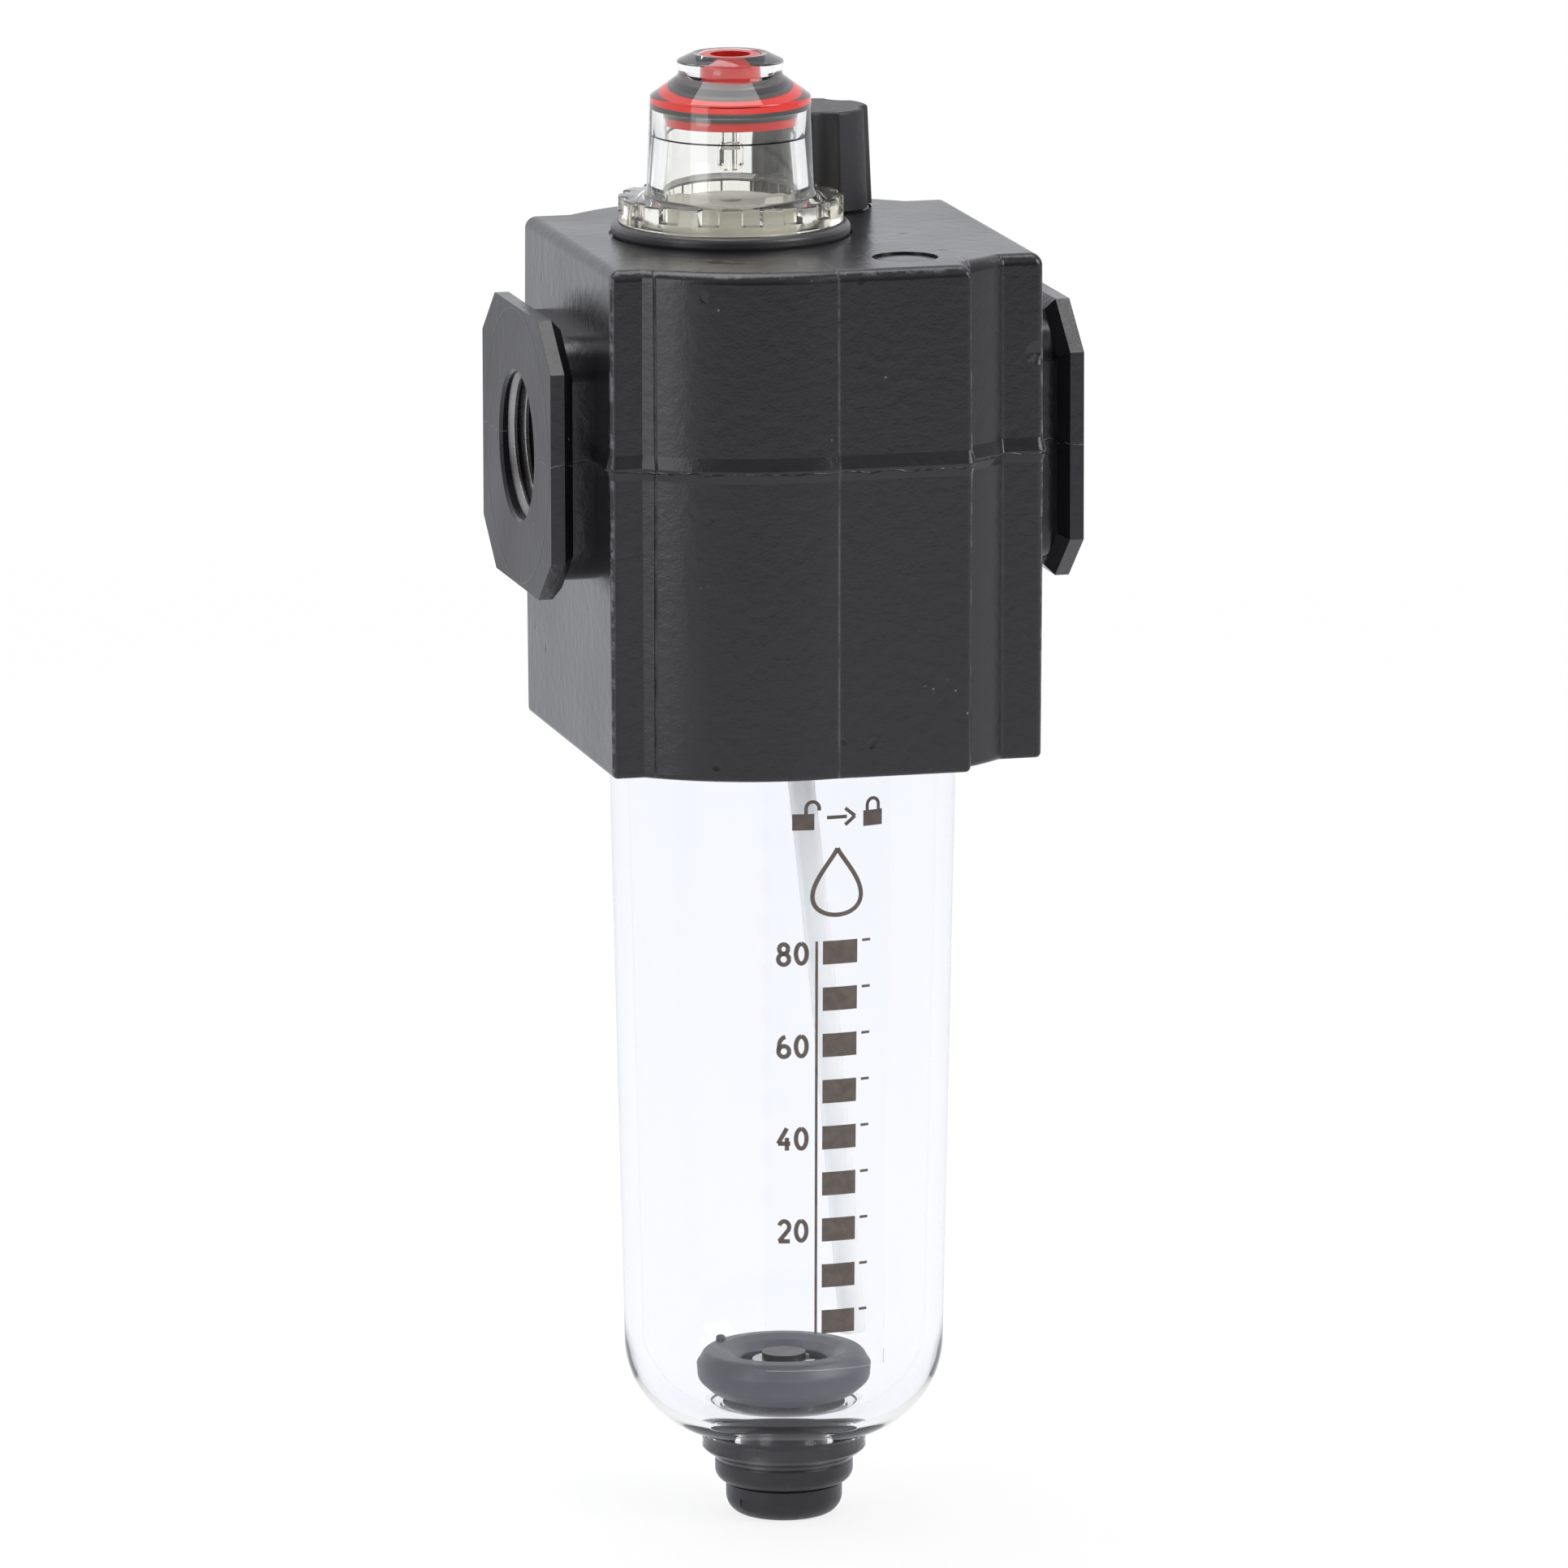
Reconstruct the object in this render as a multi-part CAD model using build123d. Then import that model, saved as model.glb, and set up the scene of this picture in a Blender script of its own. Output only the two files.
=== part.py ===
from build123d import *
import math
import os

# Air line lubricator: a cast housing with two ports on one line, a clear sight
# dome with its drip adjuster and a fill plug on top, and a clear bowl with a
# quarter-turn drain below. Millimetres, +X along the air flow, +Z up. The sizes
# are set about the bowl's axis at the height of the ports, and the finished
# pieces move along X so that the origin is the middle of the inlet port's face.

# Housing casting
body_width = 50.0
strip_width = 4.92
bulge_radius = 29.2
shoulder_x = -4.0
shoulder_y = -1.0
pad_left = -0.4
pad_right = 15.1
pad_step = 1.8
body_rise = 22.75
body_drop = 34.6
draft_angle = 0.4
corner_round = 0.9
pad_round = 0.7
top_round = 1.3
bottom_round = 0.6
bead_height = 3.2
bead_proud = 0.45
bead_lift = 0.6
bead_slope = 18

# Ports, threaded for a three-eighths parallel pipe thread
flange_span = 61.5
flange_half_width = 16.7
flange_half_height = 15.8
flange_top_edge = 20.8
flange_side_edge = 21.3
flange_rim = 1.6
flange_bevel = 1.2
flange_neck = 27.6
flange_neck_round = 4.5
port_radius = 8.33
port_depth = 13.5
port_lead = 0.35
passage_radius = 6.2

# Sight dome, on its own axis
dome_x = -5.2
dome_y = 2.7
dome_base_radius = 9.47
dome_top_radius = 9.06
dome_bore = 7.6
dome_wall_top = 14.25
dome_cone_top = 16.5
dome_neck_radius = 6.05
dome_neck_foot = 16.85
dome_neck_rim = 18.25
dome_height = 19.05
dome_mouth_radius = 4.3
dome_cone_wall = 1.2
dome_foot_round = 0.9
dome_spigot_radius = 10.5
dome_spigot_length = 8.6
ring_radius = 12.7
ring_height = 2.9
ring_base = 1.1
ring_teeth = 16
ring_turned = -104.0
ring_notch_share = 0.45
ring_notch_depth = 0.9
gasket_radius = 13.5
gasket_height = 1.7
gasket_pocket = 0.3
gasket_gap = 0.25
oil_channel_radius = 0.45
oil_channel_angle = 165.0

# Drip adjuster inside the dome
adjuster_clearance = 0.05
adjuster_neck_radius = 3.4
adjuster_flange_height = 1.65
adjuster_slot_width = 1.2
adjuster_slot_depth = 1.4
adjuster_socket_radius = 2.3
adjuster_recess = 0.15
adjuster_seal_radius = 5.3
adjuster_seal_height = 1.0
adjuster_shoulder = 1.55
adjuster_shoulder_radius = 4.6
nozzle_stem_radius = 1.1
nozzle_stem_length = 3.1
nozzle_tip_radius = 1.45
nozzle_tip_length = 2.3
nozzle_bore = 0.5
funnel_thickness = 2.4
funnel_rise = 2.2
funnel_drain_radius = 1.3

# Plugged drilling by the pad
passage_plug_x = 9.3
passage_plug_inset = 8.1
passage_plug_radius = 3.7
passage_plug_recess = 0.4
passage_plug_height = 2.6
feed_radius = 1.1

# Fill plug
plug_inset = 10.4
plug_line = 24.78
plug_slant = 0.85
plug_foot_radius = 6.5
plug_top_radius = 6.0
plug_height = 11.6
plug_lobes = 5
plug_groove_radius = 2.4
plug_groove_depth = 0.95
plug_turned = 13.0
plug_lift = 0.25
plug_shank_radius = 4.86
plug_shank_length = 7.2
plug_shank_clearance = 0.05
plug_ring_section = 0.65
fill_passage_radius = 3.0
fill_lead_x = 11.0
fill_lead_inset = 6.8

# Bowl and its bayonet
bowl_top_radius = 19.65
bowl_low_radius = 18.2
bowl_wall = 1.8
bowl_taper_start = 37.0
bowl_corner_height = 104.5
bowl_corner_radius = 11.2
bowl_foot_wall = 2.6
bowl_rim = 15.0
skirt_clearance = 0.4
cavity_roof = 13.0
lug_count = 4
lug_angle = 20.0
lug_reach = 1.85
lug_top = 24.0
lug_foot = 27.2
lug_clearance = 0.35
lock_turn = 22.5
stop_angle = 3.0
bowl_ring_height = 18.9
bowl_ring_section = 0.85
bowl_neck_radius = 9.4
bowl_neck_depth = 3.0
bowl_neck_foot_radius = 8.6
label_start = -110.6
label_angle = 44.4
label_top = 36.5
label_foot = 104.4
label_thickness = 0.08
skin_gap = 0.02

# Mist generator inside the housing
insert_radius = 7.9
insert_clearance = 0.1
insert_throat = 2.2
insert_mouth = 4.6
insert_nozzle_radius = 4.6
insert_drip_radius = 0.6
insert_nozzle_length = 7.5
insert_ring_section = 0.75
baffle_radius = 8.2
baffle_thickness = 1.2
baffle_hub_wall = 1.2
baffle_hub_height = 3.4
baffle_dish = 0.6
sensor_thickness = 0.8
sensor_slots = 6

# Oil pick-up
tube_x = 3.7
tube_y = 11.0
tube_radius = 1.55
tube_bore = 0.95
tube_end_x = 10.1
tube_end_y = 7.0
tube_end = 106.3
tube_bend_height = 30.0
tube_bend_radius = 60.0
fitting_radius = 3.1
fitting_length = 9.0
fitting_depth = 4.0
tube_socket = 4.0
ball_radius = 1.3
ball_travel = 0.8
oil_way_radius = 0.8
oil_way_reach = 9.4

# Drain
drain_shank_radius = 4.9
drain_shank_top = 108.0
drain_lip_radius = 7.9
drain_hub_radius = 7.5
drain_lip_height = 2.8
drain_lip_round = 1.5
drain_bore = 2.5
drain_running_gap = 0.05
drain_knob_radius = 6.65
drain_knob_height = 3.65
drain_knob_round = 2.2
drain_knob_gap = 0.12
drain_hole_radius = 1.1
grommet_radius = 10.05
grommet_height = 5.6
grommet_round = 1.3
grommet_grip = 0.05
stem_ring_section = 0.45
clip_thickness = 0.6
clip_radius = 3.6

# Heights and radii that follow from the sizes above
flange_face = flange_span / 2
body_half = body_width / 2
strip_depth = 2 * math.sqrt(bulge_radius ** 2 - (body_half - strip_width) ** 2)
pad_face = bulge_radius - pad_step
pad_flank = pad_face - math.sqrt(bulge_radius ** 2 - pad_right ** 2) - pad_round
passage_plug_y = passage_plug_inset - pad_face
plug_y = bulge_radius - plug_inset
plug_x = plug_line - plug_slant * plug_y
fill_lead_y = plug_y - fill_lead_inset
dome_seat = body_rise - gasket_pocket + gasket_height
dome_pocket_floor = dome_seat - dome_spigot_length
skirt_radius = bowl_top_radius + skirt_clearance
groove_radius = bowl_top_radius + lug_reach + lug_clearance
insert_bore = insert_radius + insert_clearance
neck_bore = adjuster_neck_radius + adjuster_clearance
adjuster_flange_radius = dome_bore - 0.2
seal_top = dome_seat + dome_cone_top - dome_cone_wall
flange_top = seal_top - adjuster_seal_height - adjuster_shoulder
flange_foot = flange_top - adjuster_flange_height
bowl_foot = bowl_corner_height + bowl_corner_radius
neck_foot = bowl_foot + bowl_neck_depth
bowl_inner_corner = bowl_corner_height - (bowl_foot_wall - bowl_wall)
taper = (bowl_top_radius - bowl_low_radius) / (bowl_corner_height - bowl_taper_start)


def about(x, y, z, piece):
    """Moves a piece from its own axis to its place in the housing."""
    return Pos(x, y, z) * piece


def turned(*points):
    """A solid turned about Z from straight runs through (radius, height) points."""
    profile = make_face(Polyline(*points, close=True))
    return revolve(Plane.XZ * profile, Axis.Z)


def rims(piece, radius):
    """The round edges of a piece that have this radius."""
    return [e for e in piece.edges().filter_by(GeomType.CIRCLE) if abs(e.radius - radius) < 0.01]


def ring(radius, section, height):
    """A round-section ring about Z."""
    return Pos(0, 0, height) * Torus(radius, section)


def tube_between(radius, start, end):
    """A round bar from one point to another."""
    path = Vector(*end) - Vector(*start)
    return Plane(origin=start, z_dir=path) * extrude(Circle(radius), path.length)


def sector(inner, outer, angle, middle, low, high):
    """A block of a ring, centred on an angle in degrees."""
    height = high - low
    arm = outer * 2
    half = math.radians(angle / 2)
    wedge = make_face(
        Polyline(
            (0, 0),
            (arm * math.cos(half), -arm * math.sin(half)),
            (arm * math.cos(half), arm * math.sin(half)),
            close=True,
        )
    )
    plan = (Circle(outer) - Circle(inner)) & wedge
    return Rot(0, 0, middle) * Pos(0, 0, low) * extrude(plan, height)


# Housing

def body_plan():
    """The casting's outline from above: strips at the corners, bulges, and the pad."""
    strips = Rectangle(body_width, strip_depth)
    slab = Pos(0, (bulge_radius - pad_face) / 2) * Rectangle(body_width, bulge_radius + pad_face)
    bulge = Circle(bulge_radius) & slab
    front_left = Pos(pad_left - body_width / 2, -body_width / 2) * Rectangle(body_width, body_width)
    shoulder_radius = math.hypot(pad_left - shoulder_x, pad_face + shoulder_y)
    shoulder = (Pos(shoulder_x, shoulder_y) * Circle(shoulder_radius)) & front_left
    pad_middle = (pad_left + pad_right) / 2
    pad = Pos(pad_middle, -pad_face * 0.75) * Rectangle(pad_right - pad_left, pad_face / 2)
    plan = strips + (bulge - front_left) + shoulder + pad
    plan &= Rectangle(body_width, bulge_radius * 3)
    plan = fillet([v for v in plan.vertices() if abs(abs(v.X) - body_half) < 0.01], corner_round)
    pad_edge = [v for v in plan.vertices() if abs(v.X - pad_right) < 0.01 and v.Y < 0]
    return fillet(pad_edge, pad_round)


def rounded_half(plan, height, rounding):
    """One drafted half of the casting, rounded at its far edge."""
    half = extrude(plan, height, taper=draft_angle)
    return fillet(half.faces().sort_by(Axis.Z)[-1].outer_wire().edges(), rounding)


def housing_casting():
    """Two drafted halves that meet at the parting line, with the bead over it."""
    plan = body_plan()
    upper = rounded_half(plan, body_rise, min(top_round, pad_flank))
    lower = mirror(rounded_half(plan, body_drop, bottom_round), Plane.XY)
    rim = offset(plan, bead_proud, kind=Kind.INTERSECTION)
    bead_half = extrude(rim, bead_height / 2, taper=bead_slope)
    bead = Pos(0, 0, bead_lift) * (bead_half + mirror(bead_half, Plane.XY))
    return upper + lower + bead


def flange_plan():
    """The port flange seen along the ports: an octagon with unequal sides."""
    top = flange_top_edge / 2
    side = flange_side_edge / 2
    corners = []
    for sx, sz in ((1, 1), (-1, 1), (-1, -1), (1, -1)):
        first = (sx * flange_half_width, sz * side)
        second = (sx * top, sz * flange_half_height)
        corners += [first, second] if sx * sz > 0 else [second, first]
    return make_face(Polyline(*corners, close=True))


def port_flange():
    """The left flange: flat rim, bevelled back for a clamp, and its square neck."""
    face = Plane(origin=(-flange_face, 0, 0), x_dir=(0, 1, 0), z_dir=(1, 0, 0))
    rim = extrude(flange_plan(), flange_rim)
    bevel = Pos(0, 0, flange_rim) * extrude(flange_plan(), flange_bevel, taper=45)
    neck_plan = RectangleRounded(flange_neck, flange_neck, flange_neck_round)
    neck = extrude(neck_plan, flange_face - body_half + 1)
    return face * (rim + bevel + neck)


def port_bore():
    """The left port's bore with its lead-in, turned about the port axis."""
    shoulder = port_depth + port_radius - passage_radius
    tool = turned(
        (0, -1),
        (port_radius + port_lead + 1, -1),
        (port_radius, port_lead),
        (port_radius, port_depth),
        (passage_radius, shoulder),
        (0, shoulder),
    )
    return Plane(origin=(-flange_face, 0, 0), x_dir=(0, 1, 0), z_dir=(1, 0, 0)) * tool


def bowl_socket():
    """The room for the bowl: skirt, bayonet groove, entry slots and seal bore."""
    shelf = lug_foot + 0.3
    ceiling = lug_top - 1.4
    room = Pos(0, 0, -body_drop - 1) * extrude(Circle(skirt_radius), body_drop + 1 - cavity_roof)
    groove = Pos(0, 0, -shelf) * extrude(Circle(groove_radius), shelf - ceiling)
    room += groove
    for k in range(lug_count):
        entry = 360 / lug_count * k - lock_turn
        room += sector(skirt_radius - 1, groove_radius, lug_angle + 4, entry, -body_drop - 1, -shelf)
    return room


def bayonet_stops():
    """Ribs in the groove that the lugs meet when the bowl is locked."""
    ribs = []
    for k in range(lug_count):
        edge = 360 / lug_count * k + lug_angle / 2 + 1 + stop_angle / 2
        ribs.append(
            sector(skirt_radius, groove_radius + 0.5, stop_angle, edge, -lug_foot - 0.3, -lug_top + 1.4)
        )
    return ribs


def head_body():
    """The casting with its flanges, bores, passages and seats."""
    flange = port_flange()
    bore = port_bore()
    body = housing_casting() + flange + Rot(0, 0, 180) * flange
    body -= bore_pair(bore)
    body -= Rot(0, 90, 0) * Cylinder(passage_radius, body_width)
    body -= bowl_socket()
    for rib in bayonet_stops():
        body += rib
    pocket_depth = body_rise - dome_pocket_floor
    body -= about(dome_x, dome_y, dome_pocket_floor, bar(dome_spigot_radius + 0.1, pocket_depth + 1))
    seat = body_rise - gasket_pocket
    body -= about(dome_x, dome_y, seat, bar(gasket_radius + gasket_gap, gasket_pocket + 1))
    body -= about(dome_x, dome_y, -cavity_roof - 1, bar(insert_bore, cavity_roof + dome_pocket_floor + 2))
    body -= fill_drilling()
    body -= plug_drilling()
    body -= pick_up_drilling()
    return body


def bore_pair(bore):
    """The same bore at the inlet and at the outlet."""
    return bore + Rot(0, 0, 180) * bore


def bar(radius, height):
    """A round bar that stands on z = 0."""
    return extrude(Circle(radius), height)


def fill_drilling():
    """The fill hole, its ring seat and the slanted way into the bowl."""
    hole = plug_shank_radius + plug_shank_clearance
    foot = body_rise - plug_shank_length - 1.5
    seat = plug_shank_radius + 2 * plug_ring_section + 0.2
    tool = about(plug_x, plug_y, foot, bar(hole, body_rise - foot + 1))
    tool += about(plug_x, plug_y, body_rise - 2 * plug_ring_section, bar(seat, 3))
    start = (plug_x, plug_y, foot + 1.5)
    end = (fill_lead_x, fill_lead_y, -cavity_roof - 1)
    return tool + tube_between(fill_passage_radius, start, end)


def plug_drilling():
    """The drilled feed above the pad, opened out for its plug."""
    floor = body_rise - passage_plug_recess - passage_plug_height
    tool = about(passage_plug_x, passage_plug_y, floor, bar(passage_plug_radius, body_rise - floor + 1))
    start = (passage_plug_x, passage_plug_y, floor + 0.5)
    end = (passage_plug_x * 0.7, passage_plug_y * 0.7, -cavity_roof - 1)
    return tool + tube_between(feed_radius, start, end)


def pick_up_drilling():
    """The seat of the pick-up fitting and the oil way up to the dome."""
    seat = about(tube_x, tube_y, -cavity_roof - 1, bar(fitting_radius + 0.02, fitting_depth + 1))
    lean = Vector(tube_x - dome_x, tube_y - dome_y).normalized() * oil_way_reach
    foot = (tube_x, tube_y, -cavity_roof + fitting_depth - 0.5)
    head = (dome_x + lean.X, dome_y + lean.Y, dome_pocket_floor + 0.5)
    return seat + tube_between(oil_way_radius, foot, head)


def passage_plug():
    """The plug pressed into the drilling, dished on top."""
    top = passage_plug_height
    radius = passage_plug_radius - skin_gap
    plug = bar(radius, top) - Pos(0, 0, top - 0.35) * bar(radius - 0.9, 1)
    plug = chamfer(plug.edges().group_by(Axis.Z)[0], 0.3)
    return about(passage_plug_x, passage_plug_y, body_rise - passage_plug_recess - top, plug)


# Dome and adjuster

def dome_gasket():
    """The flat ring under the dome's collar, its outer edge rounded."""
    gasket = bar(gasket_radius, gasket_height) - bar(dome_spigot_radius + 0.15, gasket_height)
    gasket = fillet(rims(gasket, gasket_radius), gasket_height * 0.4)
    return about(dome_x, dome_y, body_rise - gasket_pocket, gasket)


def dome_profile():
    """Half the dome's section: spigot, collar, wall, cone and neck, and its bore."""
    foot = dome_foot_round
    lip = dome_base_radius + foot
    with BuildLine() as line:
        Polyline(
            (dome_bore, -dome_spigot_length + 1),
            (dome_spigot_radius, -dome_spigot_length + 1),
            (dome_spigot_radius, 0),
            (ring_radius, 0),
            (ring_radius, ring_height),
            (lip, ring_height),
        )
        ThreePointArc(
            (lip, ring_height),
            (lip - foot * math.sin(math.pi / 4), ring_height + foot * (1 - math.cos(math.pi / 4))),
            (dome_base_radius, ring_height + foot),
        )
        Polyline(
            (dome_base_radius, ring_height + foot),
            (dome_top_radius, dome_wall_top),
            (dome_neck_radius, dome_cone_top),
            (dome_neck_radius - 0.2, dome_neck_foot),
            (dome_neck_radius, dome_neck_rim),
            (dome_mouth_radius, dome_height),
            (neck_bore, dome_height),
            (neck_bore, seal_top - dome_seat),
            (adjuster_seal_radius + 0.1, seal_top - dome_seat),
            (adjuster_seal_radius + 0.1, seal_top - adjuster_seal_height - dome_seat),
            (dome_bore, flange_top - dome_seat + 0.1),
            (dome_bore, -dome_spigot_length + 1),
        )
    return make_face(line.line)


def sight_dome():
    """The clear dome with its notched collar and the oil channel in its wall."""
    dome = revolve(Plane.XZ * dome_profile(), Axis.Z)
    pitch = 360 / ring_teeth
    for k in range(ring_teeth):
        dome -= sector(
            ring_radius - ring_notch_depth,
            ring_radius + 1,
            pitch * ring_notch_share,
            pitch * (k + 0.5) + ring_turned,
            ring_base,
            ring_height + 1,
        )
    channel_radius = (dome_bore + dome_top_radius) / 2
    angle = math.radians(oil_channel_angle)
    dome -= Pos(
        channel_radius * math.cos(angle), channel_radius * math.sin(angle), -dome_spigot_length
    ) * bar(oil_channel_radius, dome_spigot_length + dome_wall_top - 1.2)
    return about(dome_x, dome_y, dome_seat, dome)


def adjuster():
    """The red adjuster: flange in the dome, neck with its key slot, and nozzle seat."""
    top = dome_seat + dome_height - adjuster_recess
    neck = turned(
        (nozzle_stem_radius, flange_foot),
        (adjuster_flange_radius, flange_foot),
        (adjuster_flange_radius, flange_top),
        (adjuster_shoulder_radius, flange_top + adjuster_shoulder),
        (adjuster_neck_radius, flange_top + adjuster_shoulder),
        (adjuster_neck_radius, top),
        (adjuster_socket_radius, top),
        (adjuster_socket_radius, top - adjuster_slot_depth),
        (0, top - adjuster_slot_depth),
        (0, flange_foot + adjuster_flange_height),
        (nozzle_stem_radius, flange_foot + adjuster_flange_height),
    )
    slot = Pos(0, 0, top - adjuster_slot_depth - 0.6) * extrude(
        Rectangle(adjuster_socket_radius * 2, adjuster_slot_width), adjuster_slot_depth
    )
    key = Rot(0, 0, 25)
    return about(dome_x, dome_y, 0, neck - key * slot)


def adjuster_seal():
    """The black ring that seals the adjuster's neck under the dome."""
    height = adjuster_seal_height - 0.1
    seal = bar(adjuster_seal_radius, height) - bar(adjuster_neck_radius + 0.02, height)
    seal = fillet(rims(seal, adjuster_seal_radius), height * 0.35)
    return about(dome_x, dome_y, flange_top + adjuster_shoulder, seal)


def drip_nozzle():
    """The clear nozzle that the drops fall from, pushed into the adjuster."""
    stem_top = flange_foot + adjuster_flange_height - 0.05
    tip_top = flange_foot - nozzle_stem_length
    tip = tip_top - nozzle_tip_length
    stem = nozzle_stem_radius - skin_gap
    nozzle = turned(
        (nozzle_bore, tip),
        (nozzle_tip_radius - 0.4, tip),
        (nozzle_tip_radius, tip + 0.5),
        (nozzle_tip_radius, tip_top),
        (stem, tip_top + 0.3),
        (stem, stem_top),
        (nozzle_bore, stem_top),
    )
    return about(dome_x, dome_y, 0, nozzle)


def drip_funnel():
    """The floor of the sight chamber, dished to its drain hole."""
    radius = dome_bore - 0.05
    low = dome_seat - funnel_thickness + funnel_rise
    funnel = turned(
        (funnel_drain_radius, low),
        (radius - 1.2, low),
        (radius - 1.2, low - 1.0),
        (radius, low - 1.0),
        (radius, low + funnel_thickness),
        (radius - 0.8, low + funnel_thickness),
        (funnel_drain_radius, low + funnel_thickness - 1.1),
    )
    return about(dome_x, dome_y, 0, funnel)


# Mist generator

def mist_insert():
    """The turned insert: venturi across it, drip well above, mist nozzle below."""
    foot = -cavity_roof - insert_nozzle_length
    top = dome_pocket_floor - 0.2
    shoulder = -cavity_roof
    body = turned(
        (0, foot),
        (insert_nozzle_radius, foot),
        (insert_nozzle_radius, shoulder),
        (insert_radius, shoulder),
        (insert_radius, top),
        (insert_radius - 1.5, top),
        (0.9, top - 3.4),
        (0, top - 3.4),
    )
    for height in insert_ring_heights():
        floor = insert_bore - 2 * insert_ring_section - 0.1
        body -= Pos(0, 0, height) * extrude(
            Circle(insert_radius + 1) - Circle(floor), insert_ring_section + 0.15, both=True
        )
    half = insert_radius + 1
    bell = loft(
        [
            Plane.YZ.offset(-half) * Circle(insert_mouth + 0.8),
            Plane.YZ * Circle(insert_throat),
        ]
    )
    body -= bell + Rot(0, 0, 180) * bell
    body -= bar(insert_drip_radius, top)
    body -= Pos(0, 0, foot) * bar(insert_throat * 0.8, -foot)
    return about(dome_x, dome_y, 0, body)


def insert_ring_heights():
    """Heights of the insert's two rings, above and below the air passage."""
    high = (passage_radius + dome_pocket_floor) / 2
    low = -(passage_radius + cavity_roof) / 2
    return (high, low)


def insert_ring(height):
    """A round-section ring that seals the insert in its bore."""
    middle = insert_bore - insert_ring_section - 0.03
    return about(dome_x, dome_y, 0, ring(middle, insert_ring_section, height))


def mist_baffle():
    """The dished baffle on the insert's nozzle that keeps oil off the way out."""
    foot = -cavity_roof - insert_nozzle_length
    baffle = turned(
        (insert_nozzle_radius + skin_gap, foot + baffle_dish),
        (baffle_radius, foot - baffle_dish),
        (baffle_radius, foot - baffle_dish + baffle_thickness),
        (insert_nozzle_radius + baffle_hub_wall, foot + baffle_dish + baffle_thickness),
        (insert_nozzle_radius + baffle_hub_wall, foot + baffle_hub_height),
        (insert_nozzle_radius + skin_gap, foot + baffle_hub_height),
    )
    return about(dome_x, dome_y, 0, baffle)


def flow_sensor():
    """The slotted elastic disc in the passage that opens as the flow rises."""
    radius = passage_radius - 0.02
    disc = bar(radius, sensor_thickness) - bar(radius * 0.3, sensor_thickness)
    for k in range(sensor_slots):
        cut = Pos(radius * 0.5, 0, 0) * Box(radius * 0.55, 0.5, sensor_thickness * 3)
        disc -= Rot(0, 0, 360 / sensor_slots * k) * cut
    place = dome_x + insert_bore + 1.6
    return Plane(origin=(place, 0, 0), x_dir=(0, 1, 0), z_dir=(1, 0, 0)) * disc


# Oil pick-up

def tube_fitting():
    """The stub that holds the pick-up tube, with the room for its check ball."""
    top = -cavity_roof + fitting_depth - 0.1
    foot = top - fitting_length
    room = ball_radius + 0.15
    fitting = turned(
        (tube_bore, foot),
        (fitting_radius - 0.9, foot),
        (fitting_radius - 0.9, -cavity_roof - 0.8),
        (fitting_radius + 0.8, -cavity_roof - 0.8),
        (fitting_radius + 0.8, -cavity_roof - 0.02),
        (fitting_radius, -cavity_roof - 0.02),
        (fitting_radius, top),
        (room, top),
        (room, ball_seat() - 0.4),
        (tube_bore, ball_seat() - 1.4),
    )
    fitting -= Pos(0, 0, foot) * bar(tube_radius + skin_gap, tube_socket)
    return about(tube_x, tube_y, 0, fitting)


def ball_seat():
    """Height of the check ball's centre when it rests on its seat."""
    return -cavity_roof + fitting_depth - 0.1 - ball_radius - ball_travel - 0.15


def check_ball():
    """The ball that keeps the oil up in its passage between uses."""
    return about(tube_x, tube_y, ball_seat(), Sphere(ball_radius))


def siphon_tube():
    """The pick-up tube, bent a little on its way down to the bowl's foot."""
    top = -cavity_roof + fitting_depth - 0.1 - fitting_length + tube_socket - 0.05
    middle = (tube_bend_height + tube_end) / 2
    drift_x = (tube_end_x - tube_x) * 0.56
    drift_y = (tube_end_y - tube_y) * 0.56
    path = FilletPolyline(
        (tube_x, tube_y, top),
        (tube_x, tube_y, -tube_bend_height),
        (tube_x + drift_x, tube_y + drift_y, -middle),
        (tube_end_x, tube_end_y, -tube_end),
        radius=tube_bend_radius,
    )
    start = Plane(origin=path @ 0, z_dir=path % 0)
    outer = sweep(start * Circle(tube_radius), path)
    inner = sweep(start * Circle(tube_bore), path)
    return outer - inner


# Bowl

def bowl_profile(shrink, top, corner_height):
    """Half a section of the bowl's body, taken in by a wall, down to its round foot."""
    corner = bowl_corner_radius - shrink
    middle = bowl_low_radius - bowl_corner_radius
    bend = math.sqrt(0.5) * corner
    foot = corner_height + corner
    with BuildLine() as line:
        Polyline(
            (0, -top),
            (bowl_top_radius - shrink, -top),
            (bowl_top_radius - shrink, -bowl_taper_start),
            (bowl_low_radius - shrink, -corner_height),
        )
        ThreePointArc(
            (bowl_low_radius - shrink, -corner_height),
            (middle + bend, -corner_height - bend),
            (middle, -foot),
        )
        Polyline((middle, -foot), (0, -foot), (0, -top))
    return make_face(line.line)


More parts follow.
